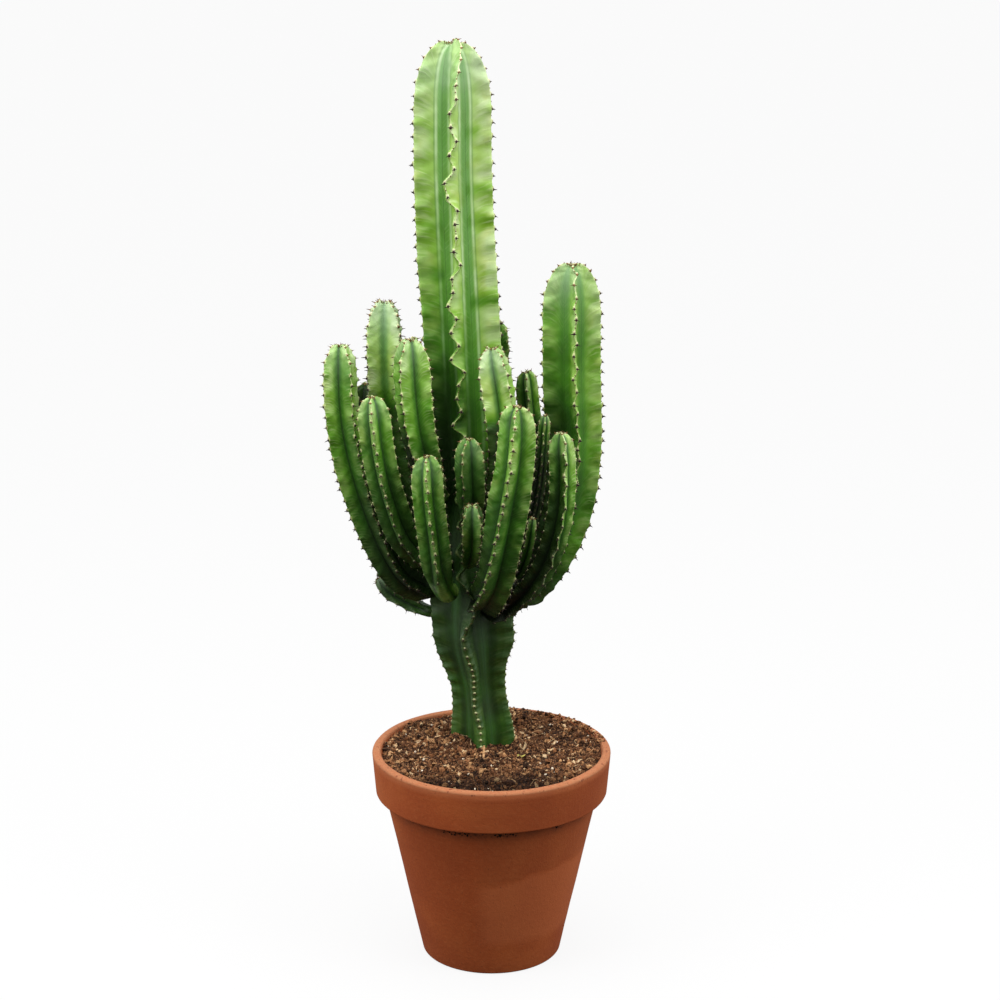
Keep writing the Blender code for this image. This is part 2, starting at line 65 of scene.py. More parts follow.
# Half a rib's outline from its edge to the bottom of the hollow: how far out
# and how far aside, in stem radii. A wing has a crease where it leaves the core.
WING_OUTLINE = (
    (1.0, 0.0), (0.996, 0.015), (0.984, 0.027), (0.955, 0.038), (0.89, 0.048), (0.80, 0.057), (0.70, 0.068),
    (0.60, 0.082), (0.51, 0.101), (0.445, 0.132), (0.395, 0.188), (0.348, 0.244), (0.300, 0.300),
)
WING_CREASE = 9
# The same points where the trunk is stout and its hollows are shallow
TRUNK_OUTLINE = (
    (1.0, 0.0), (0.994, 0.030), (0.975, 0.058), (0.94, 0.090), (0.88, 0.125), (0.80, 0.160), (0.715, 0.190),
    (0.635, 0.215), (0.56, 0.235), (0.50, 0.260), (0.45, 0.295), (0.41, 0.330), (0.375, 0.375),
)
STOUT_BELOW = 310.0 * MM
STOUT_OVER = 90.0 * MM
STOUT_SHARE = 0.85
RIB_OUTLINE = (
    (1.0, 0.0), (0.993, 0.026), (0.970, 0.050), (0.92, 0.084), (0.84, 0.130), (0.74, 0.176), (0.63, 0.216),
    (0.52, 0.246), (0.42, 0.268), (0.35, 0.282), (0.300, 0.300),
)
# A branch is round and bare near its root, over so many millimetres
ROOT_ROUND = 0.72
ROOT_ROUND_OVER = 14.0

# Rib edges: how the waves bend a rib, and the bumps that carry the spines
RINGS_A_TOOTH = 6
TOOTH_UNEVEN = 0.09
WAVE_CAP = 0.16
WAVE_FROM = 0.42
WAVE_DRIFT = 0.35
SIDE_WAVE = 0.32
TOOTH_BUMP = 1.7 * MM
TOOTH_FROM = 0.80
TOOTH_THICK = 0.55
FULL_TOOTH_RADIUS = 20.0 * MM
BETWEEN_BUMP = 0.3
PUCKER = 0.22 * MM
VEIN_RISE = 0.22
VEIN_RISE_TIP = 0.55
CROWN_PITCH = 0.62
CROWN_DIP = 0.10
HOLLOW_DIP = 0.20

# Values for the skin's material: beyond any rib edge and any crease, and at the
# two points that close the skin
EDGELESS = 9.0
CREASELESS = 9.0
BEYOND_WING = 99.0
HUB_VALUES = {
    "flank": 0.0, "edge": EDGELESS, "crease": CREASELESS, "vein": 0.0, "tooth": 0.5, "age_and_shade": 0.5, "bloom_and_sheen": 0.0,
    "reach": 5.0,
}

# Bands on the trunk: where across the flank, how wide, how strong, and their tone
TRUNK_BANDS = (
    (0.0, 0.16, 0.85, (30, 46, 34), "ADD"),
    (0.38, 0.22, 0.7, (150, 166, 176), "MULTIPLY"),
    (0.84, 0.12, 0.7, (32, 50, 34), "ADD"),
)

# Spines: a pair on every tooth, on a small dark shield with a cream pad above it
SPINE_SIDES = 5
SPINE_RINGS = 4
SPINE_LENGTH = 4.3 * MM
WING_SPINE_LENGTH = 3.8 * MM
SPINE_RADIUS = 0.72 * MM
SPINE_SPREAD = math.radians(50.0)
SPINE_BOW = 0.1
SPINES_APART = 0.35 * MM
FULL_SPINE_RADIUS = 24.0 * MM
LEAST_SPINE_SIZE = 0.62
# Random ranges: size, and each spine's spread, tilt and length
SPINE_SIZES = (0.85, 1.15)
SPINE_SPREADS = (-0.2, 0.2)
SPINE_TILTS = (-0.28, 0.18)
SPINE_LENGTHS = (0.7, 1.3)
# The shield's height and width at three levels, as shares of its size
SHIELD_PROFILE = ((-0.5, 1.0), (0.35, 1.0), (0.8, 0.62))
SHIELD_LENGTH = 1.5 * MM
SHIELD_WIDTH = 1.2 * MM
SHIELD_HEIGHT = 0.8 * MM
SHIELD_SIDES = 7
PAD_SIZE = 0.95
PAD_UP = 1.7 * MM
PAD_SINK = 0.35 * MM
LEAST_PAD = 0.8
OLD_PAD_PALER = 0.3
OLD_PAD_WIDER = 0.75
ROOT_CLEAR = 19.0 * MM
LEAST_SHIELD = 0.62
LEAST_SPINE = 0.8
SPINELESS = 0.25
BETWEEN_EYES = 0.6
GROWTH_SPINES = 13
GROWTH_ANGLE = 2.4
GROWTH_SINK = 0.4 * MM
GROWTH_AWAY = (0.05, 0.27)
GROWTH_LEANS = (0.2, 0.9)
GROWTH_LENGTHS = (2.0 * MM, 4.4 * MM)
GROWTH_RADII = (0.45 * MM, 0.85 * MM)
GROWTH_YOUNG = (0.3, 1.0)
TRUNK_SPINES_FROM = 290.0 * MM
TRUNK_SPINES_TO = 420.0 * MM

# Main stem, in millimetres: centre line, how far each rib's top stands above or
# below the crown, front rib first, painted shade on a rib's two flanks, painted
# light where negative (height, one flank, the other), patches of painted shade
# on them (rib, side, height, how much), and how much farther a rib reaches
# (height, millimetres)
MAIN_DESIGN = {
    "route": ((-9, 40, 120), (-9, 40, 215), (-13.5, 38, 275), (-21.5, 34, 340), (-23.5, 32, 393),
              (-26, 31, 550), (-29.5, 31, 618), (-37.5, 30, 797), (-38.5, 30, 896), (-38.5, 30, 956)),
    "winged": True, "bloom_and_sheen": 1.0, "lift": (3.0, -1.5, -5.0, 0.0),
    "shade": {
        0: ((470, 0.0, 0.0), (550, 0.0, -0.16), (830, 0.0, -0.16), (890, 0.3, 0.0)),
        1: ((470, 0.0, 0.0), (560, -0.34, -0.26), (680, -0.30, -0.20), (800, -0.16, -0.08), (920, 0.0, 0.06)),
        3: ((470, 0.0, 0.0), (560, 0.14, 0.16), (680, 0.08, 0.10), (800, -0.02, 0.0)),
    },
    "patches": ((1, -1, 693, 0.4), (1, -1, 776, 0.2), (1, -1, 807, 0.34), (1, -1, 865, 0.24),
                (3, 1, 723, 0.28), (3, 1, 772, 0.12), (3, 1, 798, 0.16), (3, 1, 864, 0.1)),
    "wider": {1: ((305, 0), (328, 5), (372, 5), (400, 2), (440, 0)),
              3: ((575, 0), (625, -3), (675, -3), (735, 0))},
}
# Its radius at each point of the centre line
MAIN_RADII = (27, 34.5, 28.8, 40.5, 42, 41.5, 40.5, 38.8, 38.2, 38.2)
MAIN_TOOTH = 13.55 * MM
TRUNK_TOOTH = 7.6 * MM
TRUNK_TOOTH_TO = 300.0 * MM
MAIN_TOOTH_FROM = 390.0 * MM
MAIN_WAVE = 6.0 * MM
STRAIGHT_SHARE = 0.13
WAVED_SHARE = 0.42
MAIN_FACE_LOW = math.radians(-10.0)
MAIN_FACE_TOP = math.radians(6.0)
MAIN_TURN_FROM = 0.4
MAIN_TURN_OVER = 0.4
# How far the front rib swings past each tooth before it comes back to it
RIB_LOOP = 2.6 * MM
LOOP_SOFT = 3.0 * MM
LOOP_FROM = 480.0 * MM
LOOP_OVER = 40.0 * MM

# How far the main stem's front rib stands aside, in millimetres: by height on
# the trunk, then at each tooth of the column from the crown down
FRONT_LOW = (
    (230, 4.5), (243, 4.5), (252, 3), (259, 1.5), (266, -0.5), (275, 0.5), (287, 2), (305, 4.5), (315, 4.5),
    (327, 2.5), (337, 1), (349, 0), (360, 4), (368, 10), (378, 14), (388, 14), (400, 7), (414, -4), (428, 5),
    (442, -4), (456, 5), (470, -3), (483, 5), (497, -5), (510, 4), (524, -4), (538, 5), (551, -3), (562, 3),
)
FRONT_TOP = 898.5 * MM
FRONT_TEETH = (
    0, -6, -5.5, -0.5, -6.5, -3, -12, -10, -0.5, -2.5, -2, -4, 1.5, -6.5, -6, -10.5, -3.5, -8, -1.5, -8.5,
    4.5, -1.5, -3.5, -0.5, -8.5,
)
FRONT_CROWN = ((909, -0.5), (918, 1.5), (928, 4.5), (940, 9), (950, 15), (956, 16))

# Branches: centre line in millimetres, radius low down and at the tip, angle
# of the nearest rib from the viewer in degrees, sideways wave in millimetres,
# and how much darker or lighter than the rest the branch is, partly its own tone
# and partly painted light and shade. Some also have what the main stem has, a
# length of bare round root, how pale their bloom and painted highlight are, how
# much painted shade fills their hollows, and how much painted shade they get where
# they stand deep among the others (from this height, to this height, how much).
BRANCH_TOOTH = 10.8 * MM
WINGED_BRANCH_TOOTH = 12.0 * MM
BRANCH_WAVE = 0.6
BRANCH_FULL_AT = 0.625
BRANCH_TURNED_AT = 0.77
BRANCHES = {
    "branch_left_outer": {
        "route": ((-55, 38, 387), (-70, 31, 391), (-93, 22, 407), (-111, 15, 439), (-129, 12, 486),
                  (-144, 10, 539), (-152, 10, 591), (-153, 10, 655)),
        "radius": (17.5, 20), "face": (5, 37), "wave": 1.6, "dark": -0.2, "deep": (440, 385, 0.3),
        "shade": {0: ((520, 0.3, 0.1), (640, 0.34, 0.15)),
                  3: ((560, 0.0, 0.08), (620, 0.0, 0.12), (645, 0.0, 0.3))},
    },
    "branch_left_tall": {
        "route": ((-57, 38, 452), (-75, 43, 462), (-95, 47, 500), (-106, 48, 556), (-109.5, 46, 630),
                  (-109, 45, 693)),
        "radius": (20, 23.5), "face": (45, 45), "wave": 1.6, "dark": -0.76,
        "deep": (615, 575, 0.9), "bloom_and_sheen": 1.0, "hollow": 0.3,
    },
    "branch_left_inner": {
        "route": ((-52, 27, 482), (-60, 13, 497), (-68, 1, 538), (-75, -3, 574), (-79, -3, 615),
                  (-81, -3, 664)),
        "radius": (17, 21.5), "face": (-30, -30), "wave": 1.6, "dark": -0.03,
        "shade": {0: ((535, 0.9, 0.1), (585, 0.14, 0.0)), 1: ((610, 0.1, 0.0), (650, 0.0, 0.0)),
                  3: ((535, 0.9, 0.9), (585, 0.14, 0.14))},
    },
    "branch_left_front": {
        "route": ((-43, 30, 418), (-59, 13, 423), (-87, -14, 456), (-103, -26, 502), (-113, -31, 550),
                  (-119, -32, 611)),
        "radius": (17, 16.5), "face": (0, -5), "wave": 1.6, "dark": 0.14,
    },
    "branch_front_left": {
        "route": ((-41, 6, 398), (-47, -18, 403), (-54, -44, 431), (-59, -56, 477), (-63, -61, 516),
                  (-64, -63, 558)),
        "radius": (15.5, 15.5), "face": (0, 0), "wave": 1.6, "dark": 0.1, "round": 52,
        "shade": {rib: ((408, -0.42, -0.42), (425, -0.15, -0.15), (500, 0.0, 0.0)) for rib in (0, 1, 3)},
    },
    "branch_front_upper": {
        "route": ((-27, -3, 484), (-23, -17, 490), (-21, -28, 510), (-22, -33, 540), (-22, -33, 568)),
        "radius": (14, 16.5), "face": (-26, -26), "wave": 1.4, "dark": 0.35,
    },
    "branch_front_small": {
        "route": ((-27, -4, 428), (-23, -16, 435), (-20, -33, 452), (-19, -50, 479), (-19, -58, 506)),
        "radius": (10, 13.5), "face": (42, 42), "wave": 1.2, "dark": 0.1,
    },
    "branch_front_right": {
        "route": ((-13, 8, 388), (-7, -20, 393), (2, -50, 421), (9, -68, 460), (17, -80, 515),
                  (23, -84, 565), (25, -84, 614)),
        "radius": (19, 21), "face": (-45, -8), "wave": 2.0, "dark": 0.08, "bloom_and_sheen": 0.1,
        "patches": ((0, -1, 600, 0.2), (3, 1, 600, 0.2)),
        "shade": {rib: ((392, 0.5, 0.5), (410, -0.1, -0.1), (440, -0.2, -0.2), (520, 0.0, 0.0))
                  for rib in (0, 1)},
        "wider": {1: ((520, 0), (560, -1.5), (588, -1.5), (606, 0)),
                  3: ((510, 0), (550, -3.5), (588, -3.5), (606, 0))},
    },
    "branch_right_inner": {
        "route": ((-11, 20, 460), (-1, 6, 472), (9, -12, 519), (12, -19, 562), (7, -20, 609),
                  (-1, -20, 658)),
        "radius": (15, 19.5), "face": (37, 37), "wave": 1.6, "dark": -0.3,
        "bloom_and_sheen": 0.8, "deep": (598, 572, 0.9),
        "shade": {0: ((600, 0.22, 0.15),), 1: ((600, 0.2, 0.0),), 3: ((600, 0.0, 0.0), (640, 0.0, -0.1))},
    },
    "branch_back_right_tall": {
        "route": ((-10, 66, 455), (0, 75, 467), (7, 83, 500), (8.5, 85, 547), (8.5, 86, 600), (7.5, 86, 662)),
        "radius": (11, 13), "face": (30, 45), "wave": 1.4, "dark": 0.36,
        "bloom_and_sheen": 0.1, "deep": (640, 560, 0.5),
    },
    "branch_back_right": {
        "route": ((4, 36, 421), (20, 41, 429), (42, 54, 462), (44.5, 63, 514), (36, 65, 615)),
        "radius": (12.5, 12.4), "face": (-4, -4), "wave": 1.4, "dark": 0.1,
        "deep": (580, 535, 0.9), "bloom_and_sheen": 0.1,
        "shade": {0: ((600, 0.32, -0.1),), 3: ((600, 0.32, 0.32),)},
        "wider": {1: ((550, 0), (575, -2), (598, -2), (610, 0))},
    },
    "branch_right_slim": {
        "route": ((11, 22, 438), (25, 9, 443), (39, -1, 463), (49, -8, 520), (54, -11, 586)),
        "radius": (6, 5.8), "face": (0, 0), "wave": 0.9, "dark": 0.25, "deep": (570, 525, 0.7),
    },
    "branch_right_tall": {
        "route": ((16, 27, 387), (34, 25, 392), (59, 21, 425), (78.3, 16, 480), (84.2, 12, 544),
                  (81.2, 10, 617), (80, 10, 738)),
        "radius": (22, 29.2), "face": (4, 6), "wave": 3.4, "dark": 0.0, "winged": True, "bloom_and_sheen": 0.6,
        "deep": (455, 395, 0.45),
        "wider": {1: ((385, 0), (387.5, 5), (389.5, 5), (395, 0), (408, -1), (424, -1), (455, 0))},
        "shade": {0: ((550, 0.0, -0.3), (640, 0.0, -0.05)), 1: ((550, -0.35, -0.45), (640, -0.06, -0.08)),
                  3: ((570, 0.0, 0.1),)},
    },
    "branch_right_front": {
        "route": ((-8, 21, 368), (9, 4, 373), (31, -17, 396), (49, -30, 424), (61, -38, 455), (69, -44, 494),
                  (71, -46, 533), (69, -46, 577)),
        "radius": (12, 13.5), "face": (12, 12), "wave": 2.6, "dark": 0.12, "deep": (440, 385, 0.35),
        "shade": {0: ((450, 0.35, -0.15), (530, 0.1, -0.3)), 1: ((450, -0.1, 0.1), (530, -0.25, 0.0)),
                  3: ((450, 0.2, 0.35), (530, 0.0, 0.1))},
    },
    "branch_right_sprout": {
        "route": ((-4, 23, 405), (12, 8, 409), (27, -8, 419), (37, -20, 448), (42, -24, 482)),
        "radius": (6, 6.8), "face": (45, 45), "wave": 0.9, "dark": 0.3,
    },
    "branch_back_left_outer": {
        "route": ((-52, 47, 412), (-64, 58, 415), (-91, 74, 432), (-112, 84, 458), (-125, 89, 500),
                  (-130, 90, 546), (-131, 90, 597)),
        "radius": (13, 15), "face": (20, 20), "wave": 1.4, "dark": 0.4, "bloom_and_sheen": 0.0, "deep": (620, 560, 0.2),
        "shade": {0: ((600, 0.45, 0.45),), 1: ((600, 0.45, 0.1),), 3: ((600, 0.1, 0.45),)},
    },
    "branch_left_low": {
        "route": ((-57, 40, 360), (-71, 45, 362.5), (-90, 50, 369.5), (-107, 54, 378.5), (-120, 56, 394)),
        "radius": (9.0, 8.8), "face": (45, 45), "wave": 1.8, "dark": 0.6,
    },
    "branch_back_left": {
        "route": ((-18, 60, 430), (-26, 81, 436), (-44, 101, 470), (-51, 107, 530), (-53, 108, 602)),
        "radius": (14, 17), "face": (20, 20), "wave": 1.6, "dark": 0.1,
    },
    "branch_back_centre": {
        "route": ((-17, 68, 496), (-15, 84, 501), (-13, 104, 525), (-12, 112, 570), (-12, 113, 622)),
        "radius": (12, 15), "face": (0, 0), "wave": 1.6, "dark": 0.1,
    },
}

# How old the skin looks, with painted shade added, from 0 for fresh to 1 for old and more in deep shade:
# by height on the main stem, by distance from the tip and height on a branch. The darkening lower down
# is partly older skin and partly painted shade where less light reaches.
MAIN_AGE_AND_SHADE = (
    (220, 0.94), (280, 0.95), (340, 1.04), (400, 1.04), (500, 0.97), (570, 0.85), (620, 0.68), (680, 0.46),
    (770, 0.24), (960, 0.0),
)
BRANCH_AGE_BY_TIP = ((0, 0.18), (25, 0.34), (90, 0.5), (200, 0.75), (320, 0.95))
BRANCH_AGE_AND_SHADE_BY_HEIGHT = ((360, 0.45), (470, 0.2), (620, 0.0), (740, -0.1))
PATCH_HEIGHT = 7.0
DARKEST = 1.5

# How far the pale bloom, partly painted highlight, reaches down from a tip, in stem
# radii, and grey-green cork patches: place and size in millimetres. The third spot
# is a painted highlight on the root of the front left branch.
BLOOM_AND_SHEEN_REACH = 1.4
BRANCH_BLOOM_AND_SHEEN = 0.35
CORK_AND_HIGHLIGHT_SPOTS = ((66, -52, 448, 7), (58, -45, 419, 8), (-55, -37, 414, 8), (-26, -2, 413, 6))

# How high the relief of each material stands
VEIN_RELIEF = 0.16 * MM
SKIN_GRAIN = 0.05 * MM
CLAY_RELIEF = 0.35 * MM
TURNING_RELIEF = 0.10 * MM
CLAY_GRAIN = 0.08 * MM
SOIL_RELIEF = 0.6 * MM
PERLITE_RELIEF = 0.25 * MM

# Pot, in millimetres as in the solids
RIM_RADIUS = 125.0 * MM
POT_HEIGHT = 224.3 * MM
BASE_RADIUS = 72.8 * MM
BODY_FLARE = 0.219
MOUTH = RIM_RADIUS - 9.0 * MM
LIP_ROUND_OUT = 2.8 * MM
LIP_ROUND_IN = 2.6 * MM
BAND_BOTTOM = 178.3 * MM
BAND_RADIUS_LOW = 121.3 * MM
BAND_EDGE_ROUND = 2.2 * MM
FOOT_ROUND = 3.0 * MM
FLOOR_THICKNESS = 14.0 * MM
FLOOR_CORNER = 4.0 * MM
INNER_FLOOR_RADIUS = 68.0 * MM
POT_STEPS = 180
MERGE_WITHIN = 0.05 * MM
SHARP_ANGLE = math.radians(38.0)
FLAT_BELOW = 4.0 * MM
# How the clay wanders outward, slowly and quickly, and upward: noise scale and depth
CLAY_WANDER = ((14.0, 0.5 * MM), (60.0, 0.16 * MM), (25.0, 0.3 * MM))
DRAIN_HOLES = 3
DRAIN_SIDES = 40
DRAIN_RADIUS = 6.0 * MM
DRAIN_CIRCLE = 38.0 * MM

# Soil: its lumpy surface, and how many crumbs and other bits lie on it
SOIL_LEVEL = 219.0 * MM
SOIL_MOUND = 4.0 * MM
SOIL_MOUND_WIDTH = 42.0 * MM
SOIL_FOOT = Vector((-9.0 * MM, 40.0 * MM))
SOIL_RINGS = 100
SOIL_STEPS = 230
SOIL_DIP = 6.0 * MM
SOIL_DIP_PLACE = Vector((14.0 * MM, 20.0 * MM))
SOIL_DIP_WIDTH = 20.0 * MM
SOIL_BACK_RISE = 2.6 * MM
SOIL_FRONT_RISE = -1.6 * MM
SOIL_HEAP_RISE = 2.5 * MM
SOIL_HEAP_AT = math.radians(52.0)
SOIL_HEAP_SPREAD = math.radians(46.0)
# Where the rise by the wall starts, and over how much of the soil's radius
SOIL_WALL_FROM = 0.70
SOIL_WALL_OVER = 0.26
SOIL_RING_POWER = 0.85
SOIL_EDGE_FROM = 0.95
SOIL_EDGE_DROP = 0.8 * MM
# Lumps in the soil, from wide to fine: how wide and how high
SOIL_OCTAVES = ((24.0 * MM, 3.2 * MM), (8.5 * MM, 3.0 * MM), (3.6 * MM, 2.2 * MM), (1.7 * MM, 0.9 * MM))
BED_TONE = -1.0
CRUMBS = 3400
CRUMB_TONE = 0.42
SPILLED_CRUMBS = 260
CHIPS = 420
CHIP_TONE = 0.62
GRAINS = 70
FIBRES = 170
FIBRE_RINGS = 7
# How large the bits are: the least, how much more at most, and how rare the large ones are
CRUMB_SIZE = (0.5 * MM, 2.3 * MM, 2.6)
SPILLED_SIZE = (0.5 * MM, 1.4 * MM, 2)
CHIP_SIZE = (1.2 * MM, 4.2 * MM, 2)
GRAIN_SIZE = (0.5 * MM, 1.0 * MM, 2)
# Random ranges in millimetres: how far in from the rim spilled crumbs lie, how
# thick chips are, a fibre's length, radius and rise, and the crumbs on the clay
SPILLED_IN = (3.2, 10.5)
CHIP_THICK = (0.3, 0.8)
FIBRE_LENGTH = (4.0, 12.0)
FIBRE_RADIUS = (0.16, 0.42)
FIBRE_RISE = (0.3, 1.6)
STUCK_SIZE = (0.5, 1.3)
# Crumbs heaped on the viewer's left of the trunk's foot
HEAP_PLACE = (-26.0 * MM, -6.0 * MM)
HEAP_SPREAD = (11.0 * MM, 6.0 * MM)
HEAP_CRUMBS = 130
HEAP_TONE = 0.62
# Soil stuck under the pot's band: angle from the viewer in degrees, how many, and how spread
STUCK_SOIL = (
    (-21.0, 26, 3.4), (-15.0, 10, 2.0), (3.0, 12, 2.2), (9.0, 16, 3.6), (36.0, 9, 1.6), (150.0, 14, 5.0),
)
# Larger bits: x, y, turn in radians, length, width, curl, how upright, and tone.
# A tone over 1.1 is yellow-green.
LANDMARKS = (
    (33, 6, 0.5, 15, 4.2, 2.4, 0.10, 1.0), (-8, -18, 1.5, 11, 2.4, 0.3, 1.0, 0.86),
    (31, -19, -0.2, 9, 4.6, 0.9, 0.1, 1.3), (-50, -2, 0.35, 9, 2.0, 0.5, 0.1, 0.9),
    (-72, -14, 0.2, 6, 4.0, 0.4, 0.1, 0.95), (-60, 18, -0.4, 9, 2.2, 0.8, 0.1, 0.8),
    (-80, 34, 0.3, 7, 3.0, 0.5, 0.1, 0.75), (62, 8, 0.2, 7, 3.4, 0.7, 0.1, 0.97),
    (66, 22, 1.0, 8, 2.4, 0.8, 0.2, 1.0), (-22, -20, -0.7, 9, 3.4, 0.4, 0.3, 0.8),
    (86, -8, 0.4, 5, 3.0, 0.5, 0.1, 0.9),
)
LANDMARK_STEPS = 6
LANDMARK_THICK = 0.9

# Light: how strong the sky is by direction, the lamps (place, size, watts) and the floor
SKY_LEAST = 0.16
SKY_SIDES = 0.75
SKY_BACK = 0.45
SKY_TOP = 0.75
SKY_BELOW = 0.12
LAMPS = (
    ("top", (-0.1, -0.35, 1.95), (1.3, 1.3), 14.0),
    ("left", (-1.25, -0.75, 1.55), (0.9, 1.2), 13.0),
    ("right", (1.25, -0.75, 1.55), (0.9, 1.2), 13.0),
)
LAMP_TARGET = Vector((0.0, 0.0, 0.75))
FLOOR_RADIUS = 60.0
FLOOR_AT = (0.0, 0.0, -0.5 * MM)
FLOOR_TONE = 0.08
FLOOR_GLOW = 0.92
PAPER_TONE = (250, 250, 250)

# Camera
CAMERA_PLACE = (0.0, -2.4, 1.1631)
CAMERA_PITCH = math.radians(15.57)
SENSOR_WIDTH = 36.0
LENS = 87.95
LENS_SHIFT = 0.0085


def srgb(red, green, blue):
    """A colour given as it looks on a screen, 0 to 255, as linear light."""
    values = []
    for value in (red, green, blue):
        share = value / 255.0
        values.append(share / 12.92 if share <= 0.04045 else ((share + 0.055) / 1.055) ** 2.4)
    return (*values, 1.0)


def smooth(value):
    """A soft step from 0 to 1."""
    value = np.clip(value, 0.0, 1.0)
    return value * value * (3.0 - 2.0 * value)


def table_value(table, value):
    """A value read from a short table of pairs."""
    return np.interp(value, [pair[0] for pair in table], [pair[1] for pair in table])


def unit(vectors):
    """Vectors scaled to a length of one."""
    return vectors / np.linalg.norm(vectors, axis=-1, keepdims=True)


def marks_along(points):
    """How far along a row of points each of them is."""
    return np.concatenate([[0.0], np.cumsum(np.linalg.norm(np.diff(points, axis=0), axis=1))])


def round_about(radius, angle):
    """The x and y of a place on a circle."""
    return radius * math.cos(angle), radius * math.sin(angle)


def spin(angle):
    """A turn about the upright axis."""
    x, y = round_about(1.0, angle)
    return np.array(((x, -y, 0), (y, x, 0), (0, 0, 1)))


# Meshes


def add_object(name, data):
    """An object in the scene that shows a mesh, a light or a camera."""
    made = bpy.data.objects.new(name, data)
    bpy.context.scene.collection.objects.link(made)
    return made


def add_mesh(name, points, faces, material, values, soft=True):
    """An object from points and faces, with a named value at each point for its material."""
    mesh = bpy.data.meshes.new(name)
    mesh.from_pydata([tuple(p) for p in points], [], [tuple(f) for f in faces])
    mesh.validate()
    for label, numbers in values.items():
        layer = mesh.attributes.new(label, "FLOAT", "POINT")
        layer.data.foreach_set("value", np.asarray(numbers, np.float32).ravel())
    mesh.polygons.foreach_set("use_smooth", [soft] * len(mesh.polygons))
    mesh.materials.append(material)
    return add_object(name, mesh)


def dress(piece, slot, *nodes):
    """Ride on the root, and stand for the solids named. The slot is not used."""
    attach(piece, "root")
    if nodes:
        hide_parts(*nodes)


def grid_faces(rings, around, first=0):
    """Quads between closed rings of points."""
    faces = []
    for ring in range(rings - 1):
        low = first + ring * around
        for step in range(around):
            after = (step + 1) % around
            faces.append((low + step, low + after, low + around + after, low + around + step))
    return faces


def fan_faces(first, around, hub):
    """Triangles from a closed ring of points to one point."""
    return [(first + step, first + (step + 1) % around, hub) for step in range(around)]


class Heap:
    """Points, faces and values of many small shapes that end up in one mesh."""

    def __init__(self, *labels):
        self.points = []
        self.faces = []
        self.values = {label: [] for label in labels}
        self.count = 0

    def add(self, points, faces, **values):
        """Add one shape. A value is one number, or one for each point."""
        self.points.append(points)
        self.faces += [tuple(self.count + i for i in face) for face in faces]
        for label, store in self.values.items():
            store.append(np.broadcast_to(values[label], len(points)))
        self.count += len(points)

    def build(self, name, material, slot, soft=True):
        """The mesh of all the shapes."""
        values = {label: np.concatenate(store) for label, store in self.values.items()}
        dress(add_mesh(name, np.vstack(self.points), self.faces, material, values, soft), slot)


# Materials


